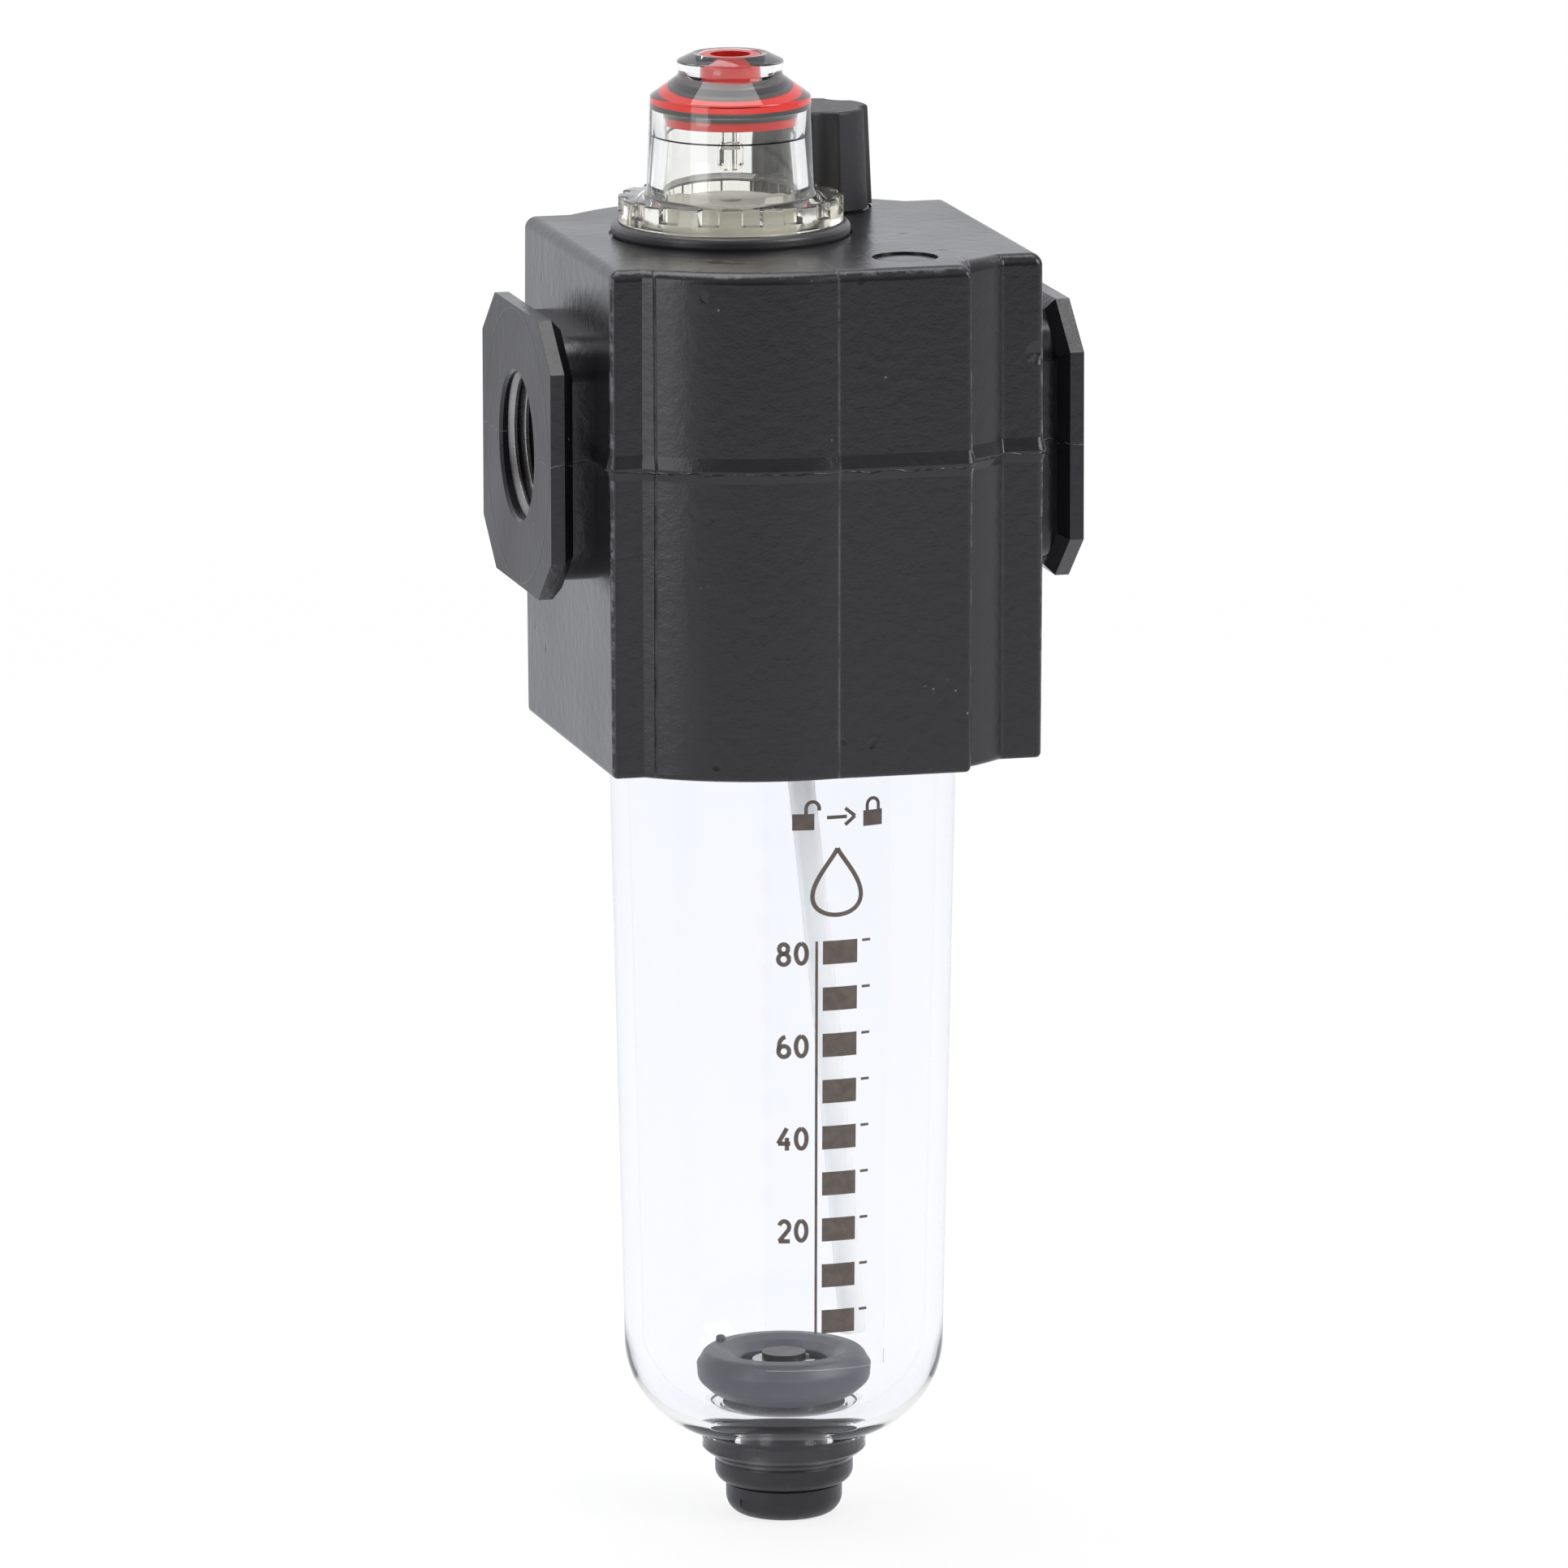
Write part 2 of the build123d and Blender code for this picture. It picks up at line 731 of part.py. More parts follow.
def bowl():
    """The clear bowl: thin wall, round foot, drain neck, lugs and ring groove."""
    outer = revolve(Plane.XZ * bowl_profile(0, bowl_rim, bowl_corner_height), Axis.Z)
    inner = revolve(Plane.XZ * bowl_profile(bowl_wall, bowl_rim - 1, bowl_inner_corner), Axis.Z)
    neck = turned(
        (0, -bowl_foot + 2),
        (bowl_neck_radius, -bowl_foot + 2),
        (bowl_neck_radius, -neck_foot + 1.3),
        (bowl_neck_radius - 0.35, -neck_foot + 1.0),
        (bowl_neck_foot_radius, -neck_foot + 0.6),
        (bowl_neck_foot_radius - 0.3, -neck_foot),
        (0, -neck_foot),
    )
    body = outer + neck - inner
    body -= Pos(0, 0, -neck_foot - 1) * bar(drain_shank_radius + grommet_grip, neck_foot + 1 - bowl_corner_height)
    body -= Pos(0, 0, -neck_foot - 1) * bar(drain_hub_radius + grommet_grip, bowl_neck_depth + 1)
    groove_floor = bowl_top_radius - 2 * bowl_ring_section + 0.25
    half = bowl_ring_section + 0.15
    body -= Pos(0, 0, -bowl_ring_height) * extrude(
        Circle(bowl_top_radius + 1) - Circle(groove_floor), half, both=True
    )
    for k in range(lug_count):
        body += sector(
            bowl_top_radius - 0.5,
            bowl_top_radius + lug_reach,
            lug_angle,
            360 / lug_count * k,
            -lug_foot,
            -lug_top,
        )
    return body


def bowl_seal():
    """The round-section ring in the bowl's groove."""
    return ring(skirt_radius - bowl_ring_section - 0.08, bowl_ring_section, -bowl_ring_height)


def bowl_label():
    """The thin clear print film that lies on the tapered wall."""
    gap = skin_gap

    def wall(depth):
        """Outer radius of the bowl at a depth below the ports."""
        return bowl_top_radius - taper * max(0, depth - bowl_taper_start)

    inner = [(wall(d) + gap, -d) for d in (label_foot, label_top)]
    outer = [(r + label_thickness, z) for r, z in reversed(inner)]
    profile = make_face(Polyline(*inner, *outer, close=True))
    film = revolve(Plane.XZ * profile, Axis.Z, label_angle)
    return Rot(0, 0, label_start) * film


# Drain

def drain_grommet():
    """The soft ring that grips the drain's shank on the bowl's floor."""
    foot = -grommet_seat()
    outer = bar(grommet_radius, grommet_height)
    outer = fillet(rims(outer, grommet_radius), grommet_round)
    hole = bar(drain_shank_radius + grommet_grip, grommet_height)
    mouth = drain_shank_radius + grommet_grip
    flare = Pos(0, 0, grommet_height - 0.6) * Cone(mouth, mouth + 1.2, 1.2)
    return Pos(0, 0, foot) * (outer - hole - flare)


def grommet_seat():
    """Depth at which the grommet's rounded edge rests in the bowl's round foot."""
    middle = bowl_low_radius - bowl_corner_radius
    inner = bowl_corner_radius - bowl_wall
    reach = grommet_radius - grommet_round - middle
    contact = math.sqrt((inner - grommet_round) ** 2 - reach ** 2)
    return bowl_inner_corner + contact + grommet_round - 0.05


def drain_body():
    """The black fitting: lip, hub in the bowl's neck, shank through the floor, and bore."""
    lip = Pos(0, 0, -neck_foot - drain_lip_height) * bar(drain_lip_radius, drain_lip_height - skin_gap)
    lip_low, lip_high = rims(lip, drain_lip_radius)[:2]
    if lip_low.center().Z > lip_high.center().Z:
        lip_low, lip_high = lip_high, lip_low
    lip = fillet(lip_low, drain_lip_round)
    lip = fillet(rims(lip, drain_lip_radius)[-1], 0.3)
    shank = Pos(0, 0, -neck_foot - 1) * bar(drain_shank_radius, neck_foot + 1 - drain_shank_top)
    shank = chamfer(shank.edges().group_by(Axis.Z)[-1], 0.4)
    hub = Pos(0, 0, -neck_foot - 1) * bar(drain_hub_radius, bowl_neck_depth + 1 - skin_gap)
    bore_foot = neck_foot + drain_lip_height + 1
    bore = bar(drain_bore + drain_running_gap, bore_foot - drain_shank_top + 1)
    return lip + hub + shank - Pos(0, 0, -bore_foot) * bore


def drain_knob():
    """The knob and its hollow stem, which turn together in the fitting."""
    top = neck_foot + drain_lip_height + drain_knob_gap
    foot = top + drain_knob_height
    knob = Pos(0, 0, -foot) * bar(drain_knob_radius, drain_knob_height)
    knob = fillet(knob.edges().group_by(Axis.Z)[0], drain_knob_round)
    stem_top = drain_shank_top - 1.6
    knob += Pos(0, 0, -top) * bar(drain_bore, top - stem_top)
    knob -= Pos(0, 0, -foot - 1) * bar(drain_hole_radius, foot - stem_top - 1)
    for k in range(2):
        grip = Pos(drain_knob_radius + 0.2, 0, -foot) * Box(1.0, 3.0, 2 * drain_knob_height - 2.4)
        knob -= Rot(0, 0, 180 * k + 40) * grip
    port = Pos(0, 0, -stem_top - 3.2) * (Rot(0, 90, 0) * Cylinder(0.7, drain_bore * 2 + 1))
    ring_floor = drain_bore + drain_running_gap - 2 * stem_ring_section - 0.05
    ring_room = Pos(0, 0, -stem_ring_depth()) * extrude(
        Circle(drain_bore + 1) - Circle(ring_floor), stem_ring_section + 0.1, both=True
    )
    clip_room = Pos(0, 0, -drain_shank_top + 0.1) * extrude(
        Circle(drain_bore + 1) - Circle(drain_bore - 0.5), clip_thickness + 0.1
    )
    return knob - port - ring_room - clip_room


def stem_ring_depth():
    """Depth of the ring on the drain's stem."""
    return neck_foot - 1.2


def drain_stem_ring():
    """The ring that seals the stem in the fitting."""
    middle = drain_bore + drain_running_gap - stem_ring_section - 0.02
    return ring(middle, stem_ring_section, -stem_ring_depth())


def drain_clip():
    """The open clip that keeps the stem from dropping out."""
    clip = bar(clip_radius, clip_thickness) - bar(drain_bore - 0.45, clip_thickness)
    clip -= Pos(clip_radius, 0, 0) * Box(clip_radius * 2, 2.6, clip_thickness * 3)
    return Pos(0, 0, -drain_shank_top + 0.15) * clip


# Fill plug

def fill_plug():
    """The lobed plug: fluted and drafted grip, with its shank below."""
    foot = body_rise + plug_lift
    grip_plan = Circle(plug_foot_radius)
    for k in range(plug_lobes):
        angle = plug_turned + 360 / plug_lobes * (k + 0.5)
        reach = plug_foot_radius + plug_groove_radius - plug_groove_depth
        place = Pos(reach * math.cos(math.radians(angle)), reach * math.sin(math.radians(angle)))
        grip_plan -= place * Circle(plug_groove_radius)
    sharp = [v for v in grip_plan.vertices() if Vector(v.X, v.Y).length > plug_foot_radius - 0.3]
    grip_plan = fillet(sharp, 0.5)
    top_plan = scale(grip_plan, plug_top_radius / plug_foot_radius)
    grip = loft([grip_plan, Pos(0, 0, plug_height - plug_lift) * top_plan])
    grip = fillet(grip.faces().sort_by(Axis.Z)[-1].outer_wire().edges(), 0.35)
    shank = Pos(0, 0, -plug_shank_length - plug_lift) * bar(plug_shank_radius, plug_shank_length + plug_lift)
    shank = chamfer(shank.edges().group_by(Axis.Z)[0], 0.6)
    return about(plug_x, plug_y, foot, grip + shank)


def fill_plug_ring():
    """The ring under the plug's grip, in its seat in the housing."""
    middle = plug_shank_radius + plug_ring_section + 0.05
    height = body_rise + plug_lift - plug_ring_section - 0.02
    return about(plug_x, plug_y, 0, ring(middle, plug_ring_section, height))


def export_pieces():
    """Writes each piece with the origin at the inlet port's face."""
    upper, lower = insert_ring_heights()
    pieces = {
        "head_body": head_body(),
        "passage_plug": passage_plug(),
        "dome_gasket": dome_gasket(),
        "sight_dome": sight_dome(),
        "adjuster": adjuster(),
        "adjuster_seal": adjuster_seal(),
        "drip_nozzle": drip_nozzle(),
        "drip_funnel": drip_funnel(),
        "mist_insert": mist_insert(),
        "insert_upper_ring": insert_ring(upper),
        "insert_lower_ring": insert_ring(lower),
        "mist_baffle": mist_baffle(),
        "flow_sensor": flow_sensor(),
        "tube_fitting": tube_fitting(),
        "check_ball": check_ball(),
        "siphon_tube": siphon_tube(),
        "bowl": bowl(),
        "bowl_seal": bowl_seal(),
        "bowl_label": bowl_label(),
        "drain_grommet": drain_grommet(),
        "drain_body": drain_body(),
        "drain_knob": drain_knob(),
        "drain_stem_ring": drain_stem_ring(),
        "drain_clip": drain_clip(),
        "fill_plug": fill_plug(),
        "fill_plug_ring": fill_plug_ring(),
    }
    os.makedirs("parts", exist_ok=True)
    for name, piece in pieces.items():
        export_step(Pos(flange_face, 0, 0) * piece, f"parts/{name}.step")


export_pieces()
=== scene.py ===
import math

import bpy
import numpy as np
from mathutils import Matrix, Vector


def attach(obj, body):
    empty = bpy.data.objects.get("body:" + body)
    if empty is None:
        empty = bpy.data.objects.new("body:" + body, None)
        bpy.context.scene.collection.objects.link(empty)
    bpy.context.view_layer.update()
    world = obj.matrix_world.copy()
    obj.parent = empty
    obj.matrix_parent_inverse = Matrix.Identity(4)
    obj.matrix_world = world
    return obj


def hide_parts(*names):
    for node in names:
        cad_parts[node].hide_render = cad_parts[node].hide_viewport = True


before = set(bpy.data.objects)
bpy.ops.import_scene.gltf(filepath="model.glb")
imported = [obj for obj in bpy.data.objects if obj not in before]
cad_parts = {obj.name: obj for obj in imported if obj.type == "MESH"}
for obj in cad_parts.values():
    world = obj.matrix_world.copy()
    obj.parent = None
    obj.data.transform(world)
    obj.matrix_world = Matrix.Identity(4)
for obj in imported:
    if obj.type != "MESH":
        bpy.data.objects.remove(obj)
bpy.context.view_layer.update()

# Lengths below are in millimetres about the bowl's axis at port height: +X along the air flow,
# +Y to the back, +Z up. The frame's own origin lies on the inlet face, ORIGIN_X further left.
MM = 0.001
TAU = 2 * math.pi
FLANGE_FACE = 30.75
ORIGIN_X = FLANGE_FACE

# Camera, fitted to the corners of the housing in the photograph
PHOTO_SIZE = 1932
CAMERA_AZIMUTH = 14.27
CAMERA_ELEVATION = 11.28
CAMERA_ROLL = -0.12
CAMERA_DISTANCE = 1538.4
CAMERA_FOCAL_PIXELS = 16706.6
CAMERA_TARGET = (0.17, 0.0, -40.36)
CAMERA_SENSOR = 36.0

# Sizes shared with the solids
DOME_X, DOME_Y = -5.2, 2.7
DOME_SEAT = 24.15
BOWL_RADIUS = 19.65
BOWL_FOOT_RADIUS = 18.2
BOWL_BORE = 17.55
TAPER_TOP, TAPER_FOOT = -37.0, -104.5
FLOOR = -125.27

# Direction in degrees that the print's middle line faces, and the radius at which its arcs are measured
PRINT_FACING = -104.2
PRINT_RADIUS = 18.9


# Mesh making

def closed_rows(rows, columns, wrap_rows, wrap_columns):
    """Quads of a grid of rows by columns, joined end to start where a direction wraps."""
    r = np.arange(rows if wrap_rows else rows - 1)
    c = np.arange(columns if wrap_columns else columns - 1)
    r, c = np.meshgrid(r, c, indexing="ij")
    r, c = r.ravel(), c.ravel()
    here, below = r * columns, (r + 1) % rows * columns
    c_next = (c + 1) % columns
    return np.stack([here + c, here + c_next, below + c_next, below + c], 1)


def make_piece(name, shells, material, body, sharp):
    """One mesh object from shells, each (points, quads, triangles), in millimetres about the bowl's axis;
    sharp is the angle in degrees beyond which an edge stays crisp."""
    points, quads, triangles, start = [], [], [], 0
    for p, q, t in shells:
        points.append(p.reshape(-1, 3))
        quads.append(q + start)
        triangles.append(t + start)
        start += len(points[-1])
    points = (np.concatenate(points) + (ORIGIN_X, 0, 0)) * MM
    quads, triangles = np.concatenate(quads), np.concatenate(triangles)
    mesh = bpy.data.meshes.new(name)
    loops = np.concatenate([quads.ravel(), triangles.ravel()]).astype(np.int32)
    sizes = np.concatenate([np.full(len(quads), 4), np.full(len(triangles), 3)])
    starts = np.concatenate([[0], np.cumsum(sizes)[:-1]]).astype(np.int32)
    mesh.vertices.add(len(points))
    mesh.vertices.foreach_set("co", points.ravel().astype(np.float32))
    mesh.loops.add(len(loops))
    mesh.loops.foreach_set("vertex_index", loops)
    mesh.polygons.add(len(sizes))
    mesh.polygons.foreach_set("loop_start", starts)
    mesh.update(calc_edges=True)
    mesh.validate()
    mesh.shade_smooth()
    mesh.set_sharp_from_angle(angle=math.radians(sharp))
    mesh.materials.append(material)
    piece = bpy.data.objects.new(name, mesh)
    bpy.context.scene.collection.objects.link(piece)
    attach(piece, body)
    return piece


NO_TRIANGLES = np.zeros((0, 3), int)


def shell(grid, wrap_rows=False, wrap_columns=True, poles=False):
    """A surface over a grid of points; poles close the first and last rows with a fan to their middle."""
    rows, columns = grid.shape[:2]
    points = grid.reshape(-1, 3)
    quads = closed_rows(rows, columns, wrap_rows, wrap_columns)
    if not poles:
        return points, quads, NO_TRIANGLES
    first_pole, last_pole = len(points), len(points) + 1
    points = np.vstack([points, grid[0].mean(0), grid[-1].mean(0)])
    c = np.arange(columns)
    c_next = (c + 1) % columns
    last_row = (rows - 1) * columns
    first_fan = np.stack([np.full(columns, first_pole), c_next, c], 1)
    last_fan = np.stack([np.full(columns, last_pole), last_row + c, last_row + c_next], 1)
    return points, quads, np.concatenate([first_fan, last_fan])


def rounded(corners, closed=False, steps=6):
    """A run of (radius, height, rounding) corners as points, where each corner is an arc of its rounding."""
    c = np.array(corners, float)
    n = len(c)
    out = []
    for k in range(n):
        here, size = c[k, :2], c[k, 2]
        if size <= 0 or (not closed and k in (0, n - 1)):
            out.append(here)
            continue
        before, after = c[k - 1, :2] - here, c[(k + 1) % n, :2] - here
        a, b = before / np.linalg.norm(before), after / np.linalg.norm(after)
        half = math.acos(np.clip(a @ b, -1, 1)) / 2
        reach = min(size / math.tan(half), 0.49 * np.linalg.norm(before), 0.49 * np.linalg.norm(after))
        radius = reach * math.tan(half)
        middle = here + (a + b) / np.linalg.norm(a + b) * (radius / math.sin(half))
        first, last = here + a * reach - middle, here + b * reach - middle
        turn = math.pi - 2 * half
        t = np.linspace(0, 1, steps)[:, None]
        arc = (np.sin((1 - t) * turn) * first + np.sin(t * turn) * last) / math.sin(turn)
        out.extend(middle + arc)
    return np.array(out)


def turned(profile, segments, centre=(0, 0), closed=False, poles=False):
    """The surface swept by a (radius, height) profile about a vertical axis; the profile goes up outside."""
    angle = np.arange(segments) / segments * TAU
    r, z = profile[:, 0:1], profile[:, 1:2]
    grid = np.stack([centre[0] + r * np.cos(angle), centre[1] + r * np.sin(angle), z + 0 * angle], -1)
    return shell(grid, wrap_rows=closed, poles=poles)


# Materials

class Nodes:
    """The node tree of a material or of the world, with short ways to add and link nodes."""

    def __init__(self, owner):
        owner.use_nodes = True
        self.tree = owner.node_tree

    def give(self, socket, value):
        """Fills a socket by a link to another socket, a colour of three numbers or a plain number."""
        if isinstance(value, bpy.types.NodeSocket):
            self.tree.links.new(value, socket)
        elif isinstance(value, tuple):
            socket.default_value = (*value, 1.0)
        else:
            socket.default_value = value

    def add(self, kind, given=None, **settings):
        """A new node with its settings, and with the values given to its inputs by name or number."""
        node = self.tree.nodes.new(kind)
        for key, value in settings.items():
            setattr(node, key, value)
        for key, value in (given or {}).items():
            self.give(node.inputs[key], value)
        return node

    def math(self, kind, *values):
        return self.add("ShaderNodeMath", dict(enumerate(values)), operation=kind).outputs["Value"]

    def most(self, first, *others):
        """The largest of several values."""
        for value in others:
            first = self.math("MAXIMUM", first, value)
        return first

    def times(self, first, *others):
        """Several values multiplied together."""
        for value in others:
            first = self.math("MULTIPLY", first, value)
        return first

    def spread(self, value, low, high, to_low, to_high):
        """A value carried from one range to another, and held at the ends of that one."""
        given = {"Value": value, "From Min": low, "From Max": high, "To Min": to_low, "To Max": to_high}
        return self.add("ShaderNodeMapRange", given).outputs["Result"]

    def mix(self, share, first, second):
        """The first colour where the share is nought, and the second where it is one."""
        return self.add("ShaderNodeMix", {"Factor": share, 6: first, 7: second}, data_type="RGBA").outputs[2]

    def mix_shaders(self, share, first, second, output):
        """Shows the first shader where the share is nought, and the second where it is one."""
        mixed = self.add("ShaderNodeMixShader", {"Fac": share, 1: first, 2: second})
        self.give(output.inputs["Surface"], mixed.outputs["Shader"])

    def parts(self, vector):
        """The X, Y and Z of a vector."""
        node = self.add("ShaderNodeSeparateXYZ", {"Vector": vector})
        return node.outputs["X"], node.outputs["Y"], node.outputs["Z"]


class Surface(Nodes):
    """A new material's nodes, with its shader, its output and the place on the object in metres."""

    def __init__(self, name):
        self.material = bpy.data.materials.new(name)
        super().__init__(self.material)
        self.shader = self.tree.nodes["Principled BSDF"]
        self.output = self.tree.nodes["Material Output"]
        self.place = self.add("ShaderNodeTexCoord").outputs["Object"]

    def set(self, **values):
        """Fills the shader's inputs by name."""
        for key, value in values.items():
            self.give(self.shader.inputs[key.replace("_", " ")], value)

    def noise(self, scale, detail, roughness):
        given = {"Scale": scale, "Detail": detail, "Roughness": roughness, "Vector": self.place}
        return self.add("ShaderNodeTexNoise", given).outputs["Fac"]

    def evened(self, noise, low=0.0, high=1.0):
        """A noise, whose values mostly lie from 0.3 to 0.7, carried over a whole range."""
        return self.spread(noise, 0.3, 0.7, low, high)

    def cells(self, scale):
        """Distance from the middle of the nearest of many scattered cells."""
        return self.add("ShaderNodeTexVoronoi", {"Scale": scale, "Vector": self.place}).outputs["Distance"]

    def near(self, centre, reach):
        """How close the surface is to a point about the bowl's axis: one there, and nought at the reach."""
        node = self.add("ShaderNodeVectorMath", {0: self.place}, operation="DISTANCE")
        node.inputs[1].default_value = tuple((c + o) * MM for c, o in zip(centre, (ORIGIN_X, 0, 0)))
        return self.spread(node.outputs["Value"], 0.0, reach * MM, 1.0, 0.0)

    def line_at(self, coordinate, place, half_width):
        """A soft ridge where a coordinate passes one value: one on the line, nought beyond the half width."""
        off = self.math("ABSOLUTE", self.math("SUBTRACT", coordinate, place * MM))
        return self.spread(off, 0.0, half_width * MM, 1.0, 0.0)

    def bump(self, height, depth, strength, normal=None):
        """A normal bent by a height of nought to one, which stands for a depth in millimetres."""
        given = {"Distance": depth * MM, "Strength": strength, "Height": height}
        if normal is not None:
            given["Normal"] = normal
        return self.add("ShaderNodeBump", given).outputs["Normal"]

    def lets_light_in(self, tint):
        """Shadow rays pass straight through, so that a clear piece doesn't darken what is behind it."""
        shadow = self.add("ShaderNodeLightPath").outputs["Is Shadow Ray"]
        clear = self.add("ShaderNodeBsdfTransparent", {"Color": tint})
        self.mix_shaders(shadow, self.shader.outputs["BSDF"], clear.outputs["BSDF"], self.output)


def cast_enamel():
    """Black enamel over a die casting: orange peel, grit, pits and dents; pale specks; the witness lines
    beside the front pad, the parting line along the bead and the turned ring on each port's face, drawn
    lighter, partly as wear and partly as a painted highlight; lighter ragged marks along the front edges,
    partly chipped enamel and partly a painted edge highlight; and duller mottling low on the sides."""
    m = Surface("cast_enamel")
    x, y, z = m.parts(m.place)
    from_middle = m.math("ABSOLUTE", m.math("SUBTRACT", x, ORIGIN_X * MM))
    from_port_axis = m.math("SQRT", m.math("ADD", m.times(y, y), m.times(z, z)))
    on_front = m.spread(y, -22.0 * MM, -20.0 * MM, 1.0, 0.0)
    on_front_edges = m.spread(y, -20.6 * MM, -20.0 * MM, 1.0, 0.0)
    on_port_face = m.spread(from_middle, (FLANGE_FACE - 0.08) * MM, (FLANGE_FACE - 0.04) * MM, 0.0, 1.0)

    witness_lines = [m.line_at(x, ORIGIN_X - 0.4, 0.22)]
    for place in (-20.1, 15.4, 20.1):
        witness_lines.append(m.times(m.line_at(x, ORIGIN_X + place, 0.16), 0.8))
    crease = m.times(m.most(*witness_lines), on_front)
    wander = m.times(m.math("SUBTRACT", m.noise(300, 2.0, 0.5), 0.5), 1.2 * MM)
    parting = m.line_at(m.math("ADD", z, wander), 0.25, 0.12)
    turned_ring = m.times(m.line_at(from_port_axis, 15.5, 0.16), on_port_face)
    edges = m.most(
        m.line_at(x, ORIGIN_X - 24.75, 0.3), m.line_at(x, ORIGIN_X + 15.0, 0.28),
        m.line_at(x, ORIGIN_X + 24.75, 0.3), m.times(m.line_at(z, 22.3, 0.28), 0.7))

    few = m.spread(m.noise(160, 0.0, 0.5), 0.60, 0.68, 0.0, 1.0)
    specks = m.times(m.spread(m.cells(520), 0.03, 0.08, 1.0, 0.0), few)
    # Ragged lighter marks along the front edges: partly chipped enamel, partly a painted edge highlight.
    chip_and_edge_highlight = m.times(edges, m.spread(m.noise(520, 4.0, 0.65), 0.50, 0.60, 0.0, 1.0), on_front_edges)
    ragged = m.times(m.spread(m.noise(420, 3.0, 0.6), 0.35, 0.6, 0.0, 1.0), on_front)
    # Lighter flecks on the parting line: partly rubbed flash, partly a painted highlight.
    parting_wear_and_highlight = m.times(parting, m.spread(m.noise(800, 2.0, 0.6), 0.42, 0.62, 0.0, 0.5))
    # Lighter lines on the witness lines, parting line, port ring and front edges: partly wear, partly painted
    # highlight.
    wear_and_highlight = m.most(
        parting_wear_and_highlight, m.times(crease, ragged, 0.32), m.times(turned_ring, 0.22), m.times(chip_and_edge_highlight, 0.55))
    broad = m.noise(60, 3.0, 0.5)
    colour = m.mix(m.evened(broad), (0.0058, 0.0050, 0.0064), (0.0088, 0.0078, 0.0098))
    colour = m.mix(m.times(specks, 0.7), colour, (0.30, 0.30, 0.32))
    # Lays a lighter grey over the enamel, standing for wear and painted highlight.
    colour = m.mix(wear_and_highlight, colour, (0.20, 0.20, 0.215))

    low_down = m.spread(z, -30.0 * MM, -8.0 * MM, 1.0, 0.0)
    on_side = m.spread(from_middle, 24.94 * MM, 24.98 * MM, 0.0, 1.0)
    off_flange = m.spread(from_middle, 25.2 * MM, 25.6 * MM, 1.0, 0.0)
    mottle = m.times(m.spread(m.noise(650, 3.0, 0.6), 0.60, 0.70, 0.0, 1.0), low_down, on_side, off_flange)
    rough = m.math("ADD", m.evened(broad, 0.21, 0.28), m.times(mottle, 0.25))
    rough = m.math("ADD", rough, m.times(on_port_face, 0.20))

    pits = m.most(
        m.spread(m.cells(210), 0.0, 0.16, 0.0, 1.0), m.spread(m.noise(95, 1.0, 0.4), 0.60, 0.66, 1.0, 0.0))
    dents = m.most(
        m.near((24.1, -21.2, 11.6), 1.4), m.near((-11.6, -17.5, 22.6), 1.3), m.near((-9.7, -18.6, 22.6), 0.9))
    normal = m.bump(m.noise(620, 3.0, 0.55), 0.12, 0.45)
    normal = m.bump(m.noise(3600, 2.0, 0.6), 0.025, 0.6, normal)
    normal = m.bump(pits, 0.2, 0.6, normal)
    normal = m.bump(m.most(crease, parting, turned_ring), 0.14, 0.9, normal)
    normal = m.bump(m.math("SUBTRACT", 1.0, dents), 0.5, 0.8, normal)
    m.set(Base_Color=colour, Roughness=rough, Normal=normal)
    return m.material


def plain_plastic(name, low, high, roughness, grain=900, grain_depth=0.03, **values):
    """A moulded plastic, rubber or metal: two near tones in soft patches, with a fine grain in its gloss."""
    m = Surface(name)
    tone = m.mix(m.evened(m.noise(110, 3.0, 0.5)), low, high)
    gloss = m.evened(m.noise(grain, 2.0, 0.6), roughness - 0.05, roughness + 0.05)
    texture = m.bump(m.noise(grain * 2.3, 2.0, 0.5), grain_depth, 0.5)
    m.set(Base_Color=tone, Roughness=gloss, Normal=texture, **values)
    return m.material


def clear_plastic(name, low, high, ior, ripple, tint, cloud=None):
    """Clear moulded plastic: faint tone changes and long flow ripples; with a cloud tone, it is that tone and
    less clear below the foot of the dome's wall."""
    m = Surface(name)
    colour = m.mix(m.evened(m.noise(130, 2.0, 0.5)), low, high)
    roughness = 0.0
    if cloud:
        foot = m.spread(m.parts(m.place)[2], (DOME_SEAT + 2.65) * MM, (DOME_SEAT + 3.45) * MM, 1.0, 0.0)
        colour = m.mix(foot, colour, cloud)
        roughness = m.times(foot, 0.08)
    ripples = m.bump(m.noise(90, 2.0, 0.4), ripple, 0.5)
    m.set(Base_Color=colour, Roughness=roughness, Normal=ripples, Transmission_Weight=1.0, IOR=ior)
    m.lets_light_in(tint)
    return m.material


def film_ink():
    """Brown-grey printing ink with slightly uneven cover."""
    m = Surface("film_ink")
    cover = m.spread(m.noise(900, 3.0, 0.6), 0.35, 0.65, 0.0, 1.0)
    m.set(Base_Color=m.mix(cover, (0.085, 0.066, 0.052), (0.115, 0.092, 0.075)), Roughness=0.45)
    return m.material


